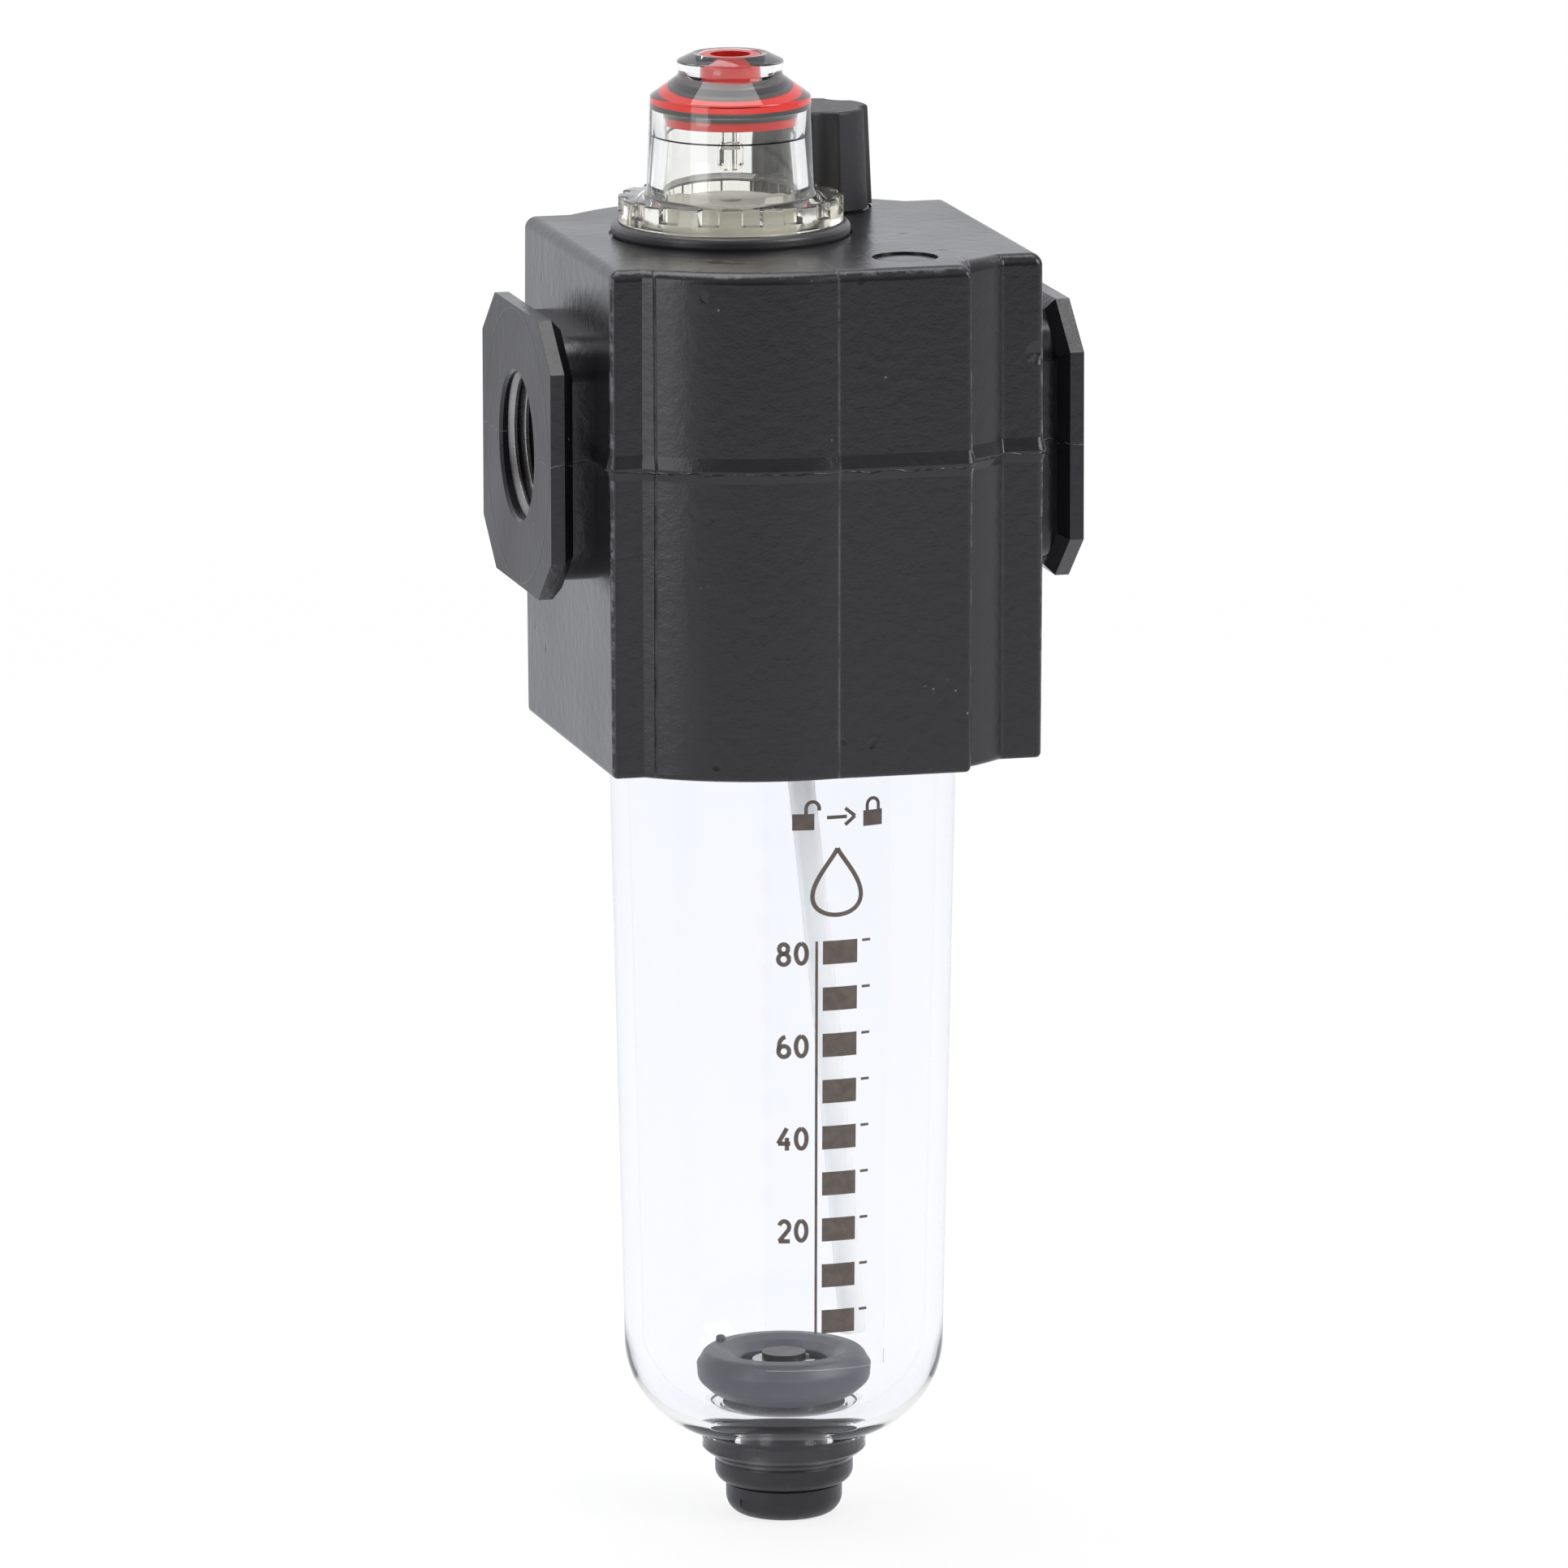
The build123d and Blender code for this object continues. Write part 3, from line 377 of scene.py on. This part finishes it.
enamel = cast_enamel()
black_rubber = plain_plastic("black_rubber", (0.028, 0.027, 0.029), (0.044, 0.043, 0.046), 0.34)
grey_rubber = plain_plastic("grey_rubber", (0.045, 0.047, 0.058), (0.070, 0.072, 0.086), 0.42, 700, 0.04)
fitting_black = plain_plastic("fitting_black", (0.009, 0.008, 0.010), (0.016, 0.014, 0.017), 0.32, 1100)
knob_black = plain_plastic("knob_black", (0.008, 0.0075, 0.009), (0.014, 0.013, 0.016), 0.36, 1300)
plug_black = plain_plastic("plug_black", (0.014, 0.013, 0.015), (0.022, 0.020, 0.023), 0.45, 1500, 0.05)
signal_red = plain_plastic("signal_red", (0.42, 0.012, 0.009), (0.52, 0.020, 0.014), 0.32, 600)
insert_grey = plain_plastic("insert_grey", (0.10, 0.10, 0.105), (0.14, 0.14, 0.145), 0.45)
funnel_pale = plain_plastic("funnel_pale", (0.30, 0.30, 0.30), (0.38, 0.38, 0.37), 0.40)
tube_milky = plain_plastic(
    "tube_milky", (0.93, 0.94, 0.94), (0.97, 0.975, 0.975), 0.40, 500, Transmission_Weight=0.55, IOR=1.2)
bright_steel = plain_plastic("bright_steel", (0.52, 0.52, 0.53), (0.62, 0.62, 0.63), 0.30, 800, Metallic=1.0)
worn_thread = plain_plastic(
    "worn_thread", (0.17, 0.16, 0.16), (0.34, 0.33, 0.33), 0.30, 2500, 0.06, Metallic=0.9)
dome_clear = clear_plastic(
    "dome_clear", (0.992, 0.990, 0.955), (0.985, 0.982, 0.935), ior=1.49, ripple=0.04,
    tint=(0.97, 0.97, 0.94), cloud=(0.985, 0.965, 0.865))
nozzle_clear = clear_plastic(
    "nozzle_clear", (0.99, 0.985, 0.975), (0.98, 0.975, 0.965), ior=1.49, ripple=0.03,
    tint=(0.97, 0.96, 0.96))
film_clear = clear_plastic(
    "film_clear", (0.99, 0.99, 0.992), (0.985, 0.985, 0.99), ior=1.06, ripple=0.01,
    tint=(0.99, 0.99, 0.99))
bowl_clear = clear_plastic(
    "bowl_clear", (0.993, 0.994, 1.0), (0.988, 0.990, 0.999), ior=1.22, ripple=0.02,
    tint=(0.98, 0.985, 0.995))
ink = film_ink()

for name, material in {
    "head_body": enamel,
    "passage_plug": enamel,
    "dome_gasket": black_rubber,
    "adjuster_seal": black_rubber,
    "adjuster": signal_red,
    "drip_nozzle": nozzle_clear,
    "drip_funnel": funnel_pale,
    "mist_insert": insert_grey,
    "insert_upper_ring": black_rubber,
    "insert_lower_ring": black_rubber,
    "mist_baffle": insert_grey,
    "flow_sensor": funnel_pale,
    "tube_fitting": insert_grey,
    "check_ball": bright_steel,
    "bowl_seal": black_rubber,
    "bowl_label": film_clear,
    "drain_stem_ring": black_rubber,
    "drain_clip": bright_steel,
    "fill_plug_ring": black_rubber,
    "siphon_tube": tube_milky,
    "sight_dome": dome_clear,
    "bowl": bowl_clear,
    "drain_grommet": grey_rubber,
    "drain_body": fitting_black,
    "drain_knob": knob_black,
    "fill_plug": plug_black,
}.items():
    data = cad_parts[name].data
    data.materials.clear()
    data.materials.append(material)


# Sight dome

def sight_dome():
    """A closed wall profile turned about the dome's axis; over the collar's teeth the outer radius drops in
    each notch by notch_depth times a smooth step of the angle, and the oil channel is a thin bore in
    the wall."""
    segments = 384
    collar, teeth_foot, teeth_top, teeth_root = 12.7, 1.1, 2.9, 11.4
    profile = rounded([
        (7.6, -7.6, 0.2), (10.5, -7.6, 0.3), (10.5, -0.02, 0.1), (collar, 0.0, 0.25),
        (collar, teeth_foot, 0.0), (collar, teeth_foot + 0.12, 0.0), (collar, teeth_top, 0.22),
        (10.35, teeth_top, 0.0), (9.72, 3.12, 0.25), (9.47, 3.9, 0.5), (9.06, 14.25, 0.35), (6.0, 16.5, 0.25),
        (5.85, 16.85, 0.2), (6.05, 18.25, 0.3), (4.3, 19.05, 0.3), (3.5, 19.0, 0.2), (3.45, 15.02, 0.02),
        (5.3, 15.02, 0.02), (5.3, 13.9, 0.02), (7.44, 12.72, 0.02), (7.6, 12.6, 0.05), (7.6, 9.75, 0.05),
        (7.25, 9.55, 0.08), (7.6, 4.0, 0.5),
    ], closed=True, steps=5)
    angle = np.arange(segments) / segments * TAU
    r = np.repeat(profile[:, 0:1], segments, 1)
    z = np.repeat(profile[:, 1:2], segments, 1)

    teeth, notch_share, notch_depth, ramp, facing = 16, 0.45, 0.9, 0.24, -104
    first_notch = math.radians(facing + 180 / teeth)
    phase = np.abs(((angle - first_notch) / (TAU / teeth) + 0.5) % 1 - 0.5) / (notch_share / 2)
    notch = np.clip((1 + ramp / 2 - phase) / ramp, 0, 1)
    notch = notch * notch * (3 - 2 * notch)
    on_teeth = (z > teeth_foot + 0.05) & (z < teeth_top + 0.1) & (r > teeth_root)
    r = np.where(on_teeth, r - notch_depth * notch, r)
    grid = np.stack([DOME_X + r * np.cos(angle), DOME_Y + r * np.sin(angle), z + DOME_SEAT], -1)

    channel_radius, channel_offset, channel_angle = 0.45, 8.33, math.radians(165)
    x = DOME_X + channel_offset * math.cos(channel_angle)
    y = DOME_Y + channel_offset * math.sin(channel_angle)
    bore = rounded([(channel_radius, -8.0, 0.1), (channel_radius, 13.0, 0.1)])
    points, quads, triangles = turned(bore + (0, DOME_SEAT), 24, (x, y), poles=True)
    hole = (points, quads[:, ::-1], triangles[:, ::-1])
    shells = [shell(grid, wrap_rows=True), hole]
    piece = make_piece("clear_dome", shells, dome_clear, "head", 50)
    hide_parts("sight_dome")


def lip_seal():
    """The seal on the adjuster: a closed section of ring and thin skirt that lies on the conical shoulder,
    and a narrow band at the flange's upper edge, both turned about the dome's axis."""
    skirt = rounded([
        (3.46, 14.34, 0.05), (4.6, 14.34, 0.05), (5.9, 13.62, 0.05), (5.9, 13.72, 0.05), (5.36, 14.02, 0.05),
        (5.36, 15.06, 0.1), (3.46, 15.06, 0.1),
    ], closed=True)
    band = rounded([
        (7.25, 12.1, 0.02), (7.57, 12.1, 0.03), (7.57, 12.78, 0.03), (7.0, 13.1, 0.02),
    ], closed=True)
    shells = [turned(part + (0, DOME_SEAT), 160, (DOME_X, DOME_Y), closed=True) for part in (skirt, band)]
    piece = make_piece("lip_seal", shells, black_rubber, "adjuster_set", 50)
    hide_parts("adjuster_seal")


def feed_plug():
    """The plug in the drilling above the pad: a disc with a shallow crown, a parabola of the radius."""
    centre = (9.3, -19.3)
    radius, middle, foot, face, crown_rise = 3.68, 0.15, 19.8, 22.42, 0.2
    r = np.linspace(radius, middle, 24)
    crown = np.stack([r, face + crown_rise * (1 - (r / radius) ** 2)], -1)
    profile = np.concatenate([[(middle, foot), (radius - 0.28, foot), (radius, foot + 0.3)], crown])
    shells = [turned(profile, 96, centre, poles=True)]
    piece = make_piece("feed_plug", shells, enamel, "head", 40)
    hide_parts("passage_plug")


# Bowl

def tapered(radius, slope, z):
    """A wall radius at a height: straight down to the top of the taper, then less by the slope."""
    return radius - slope * np.maximum(0, TAPER_TOP - z)


def wall_radius(z):
    """Outer radius of the bowl's wall at a height."""
    return tapered(BOWL_RADIUS, (BOWL_RADIUS - BOWL_FOOT_RADIUS) / (TAPER_TOP - TAPER_FOOT), z)


def clear_bowl():
    """A closed wall profile turned about the bowl's axis: rim, tapered wall, round foot and drain neck; the
    lugs push the outer radius out by lug_reach inside their angle and height."""
    foot_centre, inner_round, outer_round = 7.0, 9.1, 11.2
    inner_foot = TAPER_FOOT + 1.0
    quarter = np.linspace(0, math.pi / 2, 28)
    across, down = np.cos(quarter), np.sin(quarter)
    inner_arc = np.stack([foot_centre + inner_round * across, inner_foot - inner_round * down], -1)
    outer_arc = np.stack([foot_centre + outer_round * across, TAPER_FOOT - outer_round * down], -1)
    neck = rounded([
        (8.4, -115.75, 0), (9.4, -115.8, 0.25), (9.4, -117.35, 0.25), (9.0, -117.75, 0.2), (8.3, -118.2, 0.2),
        (7.95, -118.7, 0.2), (4.95, -118.7, 0.15), (4.95, -112.6, 0.1), (6.9, -112.6, 0),
    ], steps=5)
    outer_z = np.linspace(-103.9, TAPER_TOP, 24)
    outer_wall = np.stack([wall_radius(outer_z), outer_z], -1)
    lug_foot, lug_top = -27.2, -24.0
    lugs = np.array([(BOWL_RADIUS, z) for z in (lug_foot - 0.05, lug_foot, lug_top, lug_top + 0.05)])
    groove_radius, groove_foot, groove_top = 18.2, -19.9, -17.9
    groove = np.array([
        (BOWL_RADIUS, groove_foot), (groove_radius, groove_foot), (groove_radius, groove_top),
        (BOWL_RADIUS, groove_top),
    ])
    rim = rounded([
        (BOWL_RADIUS, -16.5, 0), (BOWL_RADIUS, -15.0, 0.4), (BOWL_BORE, -15.0, 0.4), (BOWL_BORE, -17.0, 0),
    ], steps=5)
    inner_z = np.linspace(-20, -103, 24)
    inner_slope = (BOWL_BORE - foot_centre - inner_round) / (TAPER_TOP - inner_foot)
    inner_wall = np.stack([tapered(BOWL_BORE, inner_slope, inner_z), inner_z], -1)
    profile = np.concatenate([
        inner_arc, neck[::-1], outer_arc[::-1][1:], outer_wall, lugs, groove, rim, inner_wall,
    ])

    segments, lugs_round, lug_reach, lug_half = 288, 4, 1.85, math.radians(10)
    angle = np.arange(segments) / segments * TAU
    pitch = TAU / lugs_round
    beside_lug = np.abs((angle / pitch + 0.5) % 1 - 0.5) * pitch < lug_half
    r = np.repeat(profile[:, 0:1], segments, 1)
    z = np.repeat(profile[:, 1:2], segments, 1)
    on_lug = (z > lug_foot - 0.02) & (z < lug_top + 0.02) & (r > BOWL_BORE) & beside_lug
    r = np.where(on_lug, r + lug_reach, r)
    grid = np.stack([r * np.cos(angle), r * np.sin(angle), z], -1)
    piece = make_piece("clear_bowl", [shell(grid, wrap_rows=True)], bowl_clear, "bowl_set", 40)
    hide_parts("bowl")


# Drain

def floor_ring():
    """The soft ring on the bowl's floor: a closed rounded section turned about the axis, with its nub."""
    top, foot, bore, outside = -105.95, -111.6, 4.97, 10.05
    section = rounded([
        (bore, foot, 0.2), (8.6, foot, 1.2), (outside, foot + 1.6, 1.2), (outside, top - 1.9, 1.3),
        (9.1, top - 0.15, 1.0), (7.2, top, 0.5), (6.0, top - 0.5, 0.5), (bore, top - 1.3, 0.3),
    ], closed=True, steps=8)
    nub = rounded([(0.55, -0.6, 0.0), (0.55, 0.45, 0.3), (0.02, 0.6, 0.0)]) + (0, top)
    shells = [turned(section, 160, closed=True), turned(nub, 24, (-6.1, 5.6), poles=True)]
    piece = make_piece("floor_ring", shells, grey_rubber, "bowl_set", 45)
    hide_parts("drain_grommet")


# Threads in the ports

def port_thread(name, side):
    """A ridge that follows a helix about the port axis: depth grows evenly with the turn, and its rounded
    triangular section stands in from the bore's wall to the minor radius."""
    pitch, wall, crest, turns, lead_in = 1.337, 8.36, 7.5, 9.2, 0.9
    section = np.array([(-0.60, 0.0), (-0.16, 0.86), (-0.07, 0.95), (0.07, 0.95), (0.16, 0.86), (0.60, 0.0)])
    width, height = section[:, 0], section[:, 1]
    turn = np.linspace(0, turns, int(turns * 72))[:, None]
    run_out = np.clip(np.minimum(turn, turns - turn) * 2.5, 0.02, 1)
    radius = wall - (wall - crest) * height / height.max() * run_out
    x = side * (FLANGE_FACE - (lead_in + turn * pitch + width))
    grid = np.stack([x, side * radius * np.cos(turn * TAU), radius * np.sin(turn * TAU)], -1)
    make_piece(name, [shell(grid, wrap_columns=False)], worn_thread, "head", 60)


sight_dome()
lip_seal()
feed_plug()
clear_bowl()
floor_ring()
port_thread("inlet_thread", -1)
port_thread("outlet_thread", 1)


# Print on the bowl

def on_wall(arc, z, lift):
    """A point on the bowl's wall: arc is measured in millimetres round it from the print's middle line."""
    radius = wall_radius(z) + lift
    angle = math.radians(PRINT_FACING) + arc / PRINT_RADIUS
    return np.stack([radius * np.cos(angle), radius * np.sin(angle), z], -1)


def stroke(points, width):
    """A flat band of ink of one width along a run of (arc, height) points: left edge, middle, right edge."""
    p = np.asarray(points, float)
    ahead = np.gradient(p, axis=0)
    ahead /= np.linalg.norm(ahead, axis=1)[:, None]
    side = np.stack([-ahead[:, 1], ahead[:, 0]], -1) * width / 2
    across = np.linspace(1, -1, 3)[None, :, None]
    return p[:, None] + side[:, None] * across


def ink_piece(name, bands):
    """Bands of ink laid on the film as thin raised strips with closed edges."""
    film_lift, ink_lift = 0.12, 0.16
    shells = []
    for band in bands:
        top = on_wall(band[..., 0], band[..., 1], ink_lift)
        low = on_wall(band[..., 0], band[..., 1], film_lift)
        rows, columns = band.shape[:2]
        under = rows * columns
        points = np.concatenate([top.reshape(-1, 3), low.reshape(-1, 3)])
        quads = closed_rows(rows, columns, False, False)
        left = np.arange(rows) * columns
        right = left + columns - 1
        start = np.arange(columns)
        end = (rows - 1) * columns + start
        edge = np.concatenate([left, end[1:], right[::-1][1:], start[::-1][1:-1]])
        edge_next = np.roll(edge, -1)
        rim = np.stack([edge, edge + under, edge_next + under, edge_next], 1)
        shells.append((points, np.concatenate([quads, quads[:, ::-1] + under, rim]), NO_TRIANGLES))
    make_piece(name, shells, ink, "bowl_set", 30)


def ring_path(cx, cy, rx, ry, start, stop, count):
    """Points round an ellipse between two angles in degrees."""
    t = np.radians(np.linspace(start, stop, count))
    return np.stack([cx + rx * np.cos(t), cy + ry * np.sin(t)], -1)


def straight(x0, y0, x1, y1, count=8):
    return np.linspace((x0, y0), (x1, y1), count)


# Strokes of the scale's plain figures, in a box one high and 0.6 wide
FIGURES = {
    "0": [ring_path(0.3, 0.5, 0.22, 0.42, 90, 450, 33)],
    "2": [
        np.concatenate([ring_path(0.3, 0.68, 0.21, 0.24, 165, -35, 16), straight(0.44, 0.5, 0.08, 0.06, 5)]),
        straight(0.06, 0.06, 0.54, 0.06),
    ],
    "4": [
        straight(0.42, 0.96, 0.05, 0.30),
        straight(0.05, 0.30, 0.56, 0.30),
        straight(0.42, 0.55, 0.42, 0.0),
    ],
    "6": [
        ring_path(0.3, 0.29, 0.22, 0.23, 0, 360, 25),
        np.concatenate([straight(0.08, 0.32, 0.12, 0.6, 4), ring_path(0.42, 0.55, 0.31, 0.37, 165, 100, 8)]),
    ],
    "8": [ring_path(0.3, 0.71, 0.18, 0.2, 0, 360, 25), ring_path(0.3, 0.27, 0.22, 0.23, 0, 360, 25)],
}


def figure_bands(text, arc, z, size, width):
    """The bands of a number whose first figure starts at (arc, z)."""
    spacing = 0.72 * size
    bands = []
    for k, figure in enumerate(text):
        for path in FIGURES[figure]:
            bands.append(stroke(path * size + (arc + k * spacing, z), width))
    return bands


def block(arc0, arc1, z0, z1):
    """A solid block of ink between two arcs and two heights."""
    middle = (z0 + z1) / 2
    return stroke(straight(arc0, middle, arc1, middle, 10), abs(z1 - z0))


def padlock(arc, z, size, open_by):
    """A padlock sign: a solid case with its bow, which stands aside and ends short when the lock is open."""
    middle = arc + size * (0.4 + open_by)
    left, right = middle - size * 0.24, middle + size * 0.24
    shoulder = z + size * 0.2
    right_end = z + size * 0.12 if open_by else z
    bow = np.concatenate([
        straight(left, z, left, shoulder, 4),
        ring_path(middle, shoulder, size * 0.24, size * 0.26, 180, 0, 14),
        straight(right, shoulder, right, right_end, 4),
    ])
    moves_on = np.abs(np.diff(bow, axis=0)).sum(1) > 1e-6
    bow = bow[np.concatenate([[True], moves_on])]
    return [block(arc, arc + size * 0.8, z, z - size * 0.62), stroke(bow, size * 0.13)]


def arrow(arc, z, length, width):
    """An arrow along the wall: a shaft and a head of two strokes."""
    tip = arc + length
    barb, thickness = tip - width * 1.2, width * 0.42
    return [
        stroke(straight(arc, z, tip - width, z), thickness),
        stroke(straight(barb, z + width, tip, z, 5), thickness),
        stroke(straight(barb, z - width, tip, z, 5), thickness),
    ]


def oil_drop(arc, z, size):
    """A plain oil drop in outline: a circle narrowed to a point by a power of the sine of half the turn."""
    t = np.linspace(0, TAU, 72)
    across = np.sin(t) * np.sin(t / 2) ** 1.5 * size * 0.62
    height = np.cos(t) * size * 0.6
    return [stroke(np.stack([arc + across, z + height], -1), 0.5)]


def level_scale():
    """A filling scale: blocks that step down the wall, a short rule beside each, an upright line and a number
    at every other block; above it the signs for open, turn and locked, and an oil drop."""
    top, pitch, tall, blocks = -54.6, 5.35, 2.7, 9
    bands = []
    for k in range(blocks):
        z = top - pitch * k
        bands.append(block(4.4, 8.4, z, z - tall))
        bands.append(block(9.0, 10.0, z - 0.05, z - 0.35))
    bands.append(stroke(straight(3.7, top, 3.7, top - (blocks - 1) * pitch - tall, 40), 0.3))
    for k, text in enumerate(("80", "60", "40", "20")):
        bands += figure_bands(text, -0.75, top - tall - 2 * pitch * k, tall, 0.5)
    bands += padlock(1.0, -39.9, 3.0, 0.34)
    bands += arrow(4.8, -40.4, 3.2, 0.95)
    bands += padlock(9.0, -39.9, 2.9, 0.0)
    bands += oil_drop(6.0, -47.8, 6.4)
    ink_piece("level_scale", bands)


level_scale()


# Studio

def studio():
    """A pale floor that shows white to the camera and through clear pieces, keeps part of the soft shadow
    near the object, and looks dimmer in front than behind in what reflects it."""
    size = 3000.0
    mesh = bpy.data.meshes.new("studio_floor")
    corners = [(-size, -size, FLOOR), (size, -size, FLOOR), (size, size, FLOOR), (-size, size, FLOOR)]
    mesh.from_pydata([tuple(c * MM for c in p) for p in corners], [], [(0, 1, 2, 3)])
    floor = bpy.data.objects.new("studio_floor", mesh)
    bpy.context.scene.collection.objects.link(floor)
    m = Surface("floor_white")
    m.set(Base_Color=(0.86, 0.86, 0.87), Roughness=0.9)
    path = m.add("ShaderNodeLightPath")
    reflected = path.outputs["Is Glossy Ray"]
    white = m.mix(reflected, (1.0, 1.0, 1.0), (0.935, 0.950, 1.0))
    glow = m.add("ShaderNodeEmission", {"Color": white, "Strength": 1.0})
    distance = m.add("ShaderNodeVectorMath", {0: m.place}, operation="LENGTH").outputs["Value"]
    away = m.spread(distance, 0.22, 0.75, 0.82, 1.0)
    behind = m.spread(m.parts(m.place)[1], -0.40, 0.10, 0.30, 1.0)
    seen = m.most(path.outputs["Is Camera Ray"], path.outputs["Is Transmission Ray"])
    seen = m.most(seen, m.times(reflected, behind))
    m.mix_shaders(m.times(seen, away), m.shader.outputs["BSDF"], glow.outputs["Emission"], m.output)
    mesh.materials.append(m.material)


def sky():
    """The world: white to the camera and through clear pieces; pale behind and above, dim in front."""
    world = bpy.data.worlds.new("studio_sky")
    bpy.context.scene.world = world
    m = Nodes(world)
    m.tree.nodes.clear()
    path = m.add("ShaderNodeLightPath")
    seen = m.most(path.outputs["Is Camera Ray"], path.outputs["Is Transmission Ray"])
    direction = m.parts(m.add("ShaderNodeTexCoord").outputs["Generated"])
    behind = m.spread(direction[1], -0.6, 0.55, 0.12, 1.0)
    above = m.spread(direction[2], 0.12, 0.6, 0.12, 0.62)
    dim = m.add("ShaderNodeBackground", {"Color": (0.945, 0.955, 1.0), "Strength": m.most(behind, above)})
    white = m.add("ShaderNodeBackground", {"Color": (1.0, 1.0, 1.0)})
    output = m.add("ShaderNodeOutputWorld")
    m.mix_shaders(seen, dim.outputs["Background"], white.outputs["Background"], output)


def camera():
    """A long lens from the front left, a little above, at the photograph's angle and framing."""
    azimuth, elevation, roll = (math.radians(a) for a in (CAMERA_AZIMUTH, CAMERA_ELEVATION, CAMERA_ROLL))
    level = math.cos(elevation)
    back = Vector((-math.sin(azimuth) * level, -math.cos(azimuth) * level, math.sin(elevation)))
    right = (-back).cross(Vector((0, 0, 1))).normalized()
    up = right.cross(-back)
    right, up = right * math.cos(roll) + up * math.sin(roll), up * math.cos(roll) - right * math.sin(roll)
    lens = bpy.data.cameras.new("photo_camera")
    lens.sensor_width = lens.sensor_height = CAMERA_SENSOR
    lens.lens = CAMERA_FOCAL_PIXELS / PHOTO_SIZE * CAMERA_SENSOR
    lens.clip_start, lens.clip_end = 0.05, 20.0
    holder = bpy.data.objects.new("photo_camera", lens)
    eye = (Vector(CAMERA_TARGET) + Vector((ORIGIN_X, 0, 0)) + back * CAMERA_DISTANCE) * MM
    turn = Matrix((right, up, back)).transposed().to_4x4()
    holder.matrix_world = Matrix.Translation(eye) @ turn
    bpy.context.scene.collection.objects.link(holder)
    bpy.context.scene.camera = holder


def soft_lamp(name, place, aim, width, height, power, colour=(1, 1, 1)):
    """A rectangular lamp at a place in millimetres, turned to face the aim."""
    lamp = bpy.data.lights.new(name, "AREA")
    lamp.shape = "RECTANGLE"
    lamp.size, lamp.size_y = width * MM, height * MM
    lamp.energy = power
    lamp.color = colour
    holder = bpy.data.objects.new(name, lamp)
    start = Vector(place) * MM
    holder.location = start + Vector((ORIGIN_X * MM, 0, 0))
    holder.rotation_euler = (Vector(aim) * MM - start).to_track_quat("-Z", "Y").to_euler()
    bpy.context.scene.collection.objects.link(holder)


studio()
sky()
camera()
soft_lamp("key_right", (620, -520, 420), (0, 0, -30), 420, 520, 3.6, (1.0, 0.985, 0.97))
soft_lamp("fill_left", (-700, -420, 160), (0, 0, -30), 380, 620, 1.8, (0.96, 0.98, 1.0))
soft_lamp("top_soft", (-60, 80, 760), (0, 0, 0), 600, 600, 4.0)

bpy.context.scene.view_settings.view_transform = "Standard"
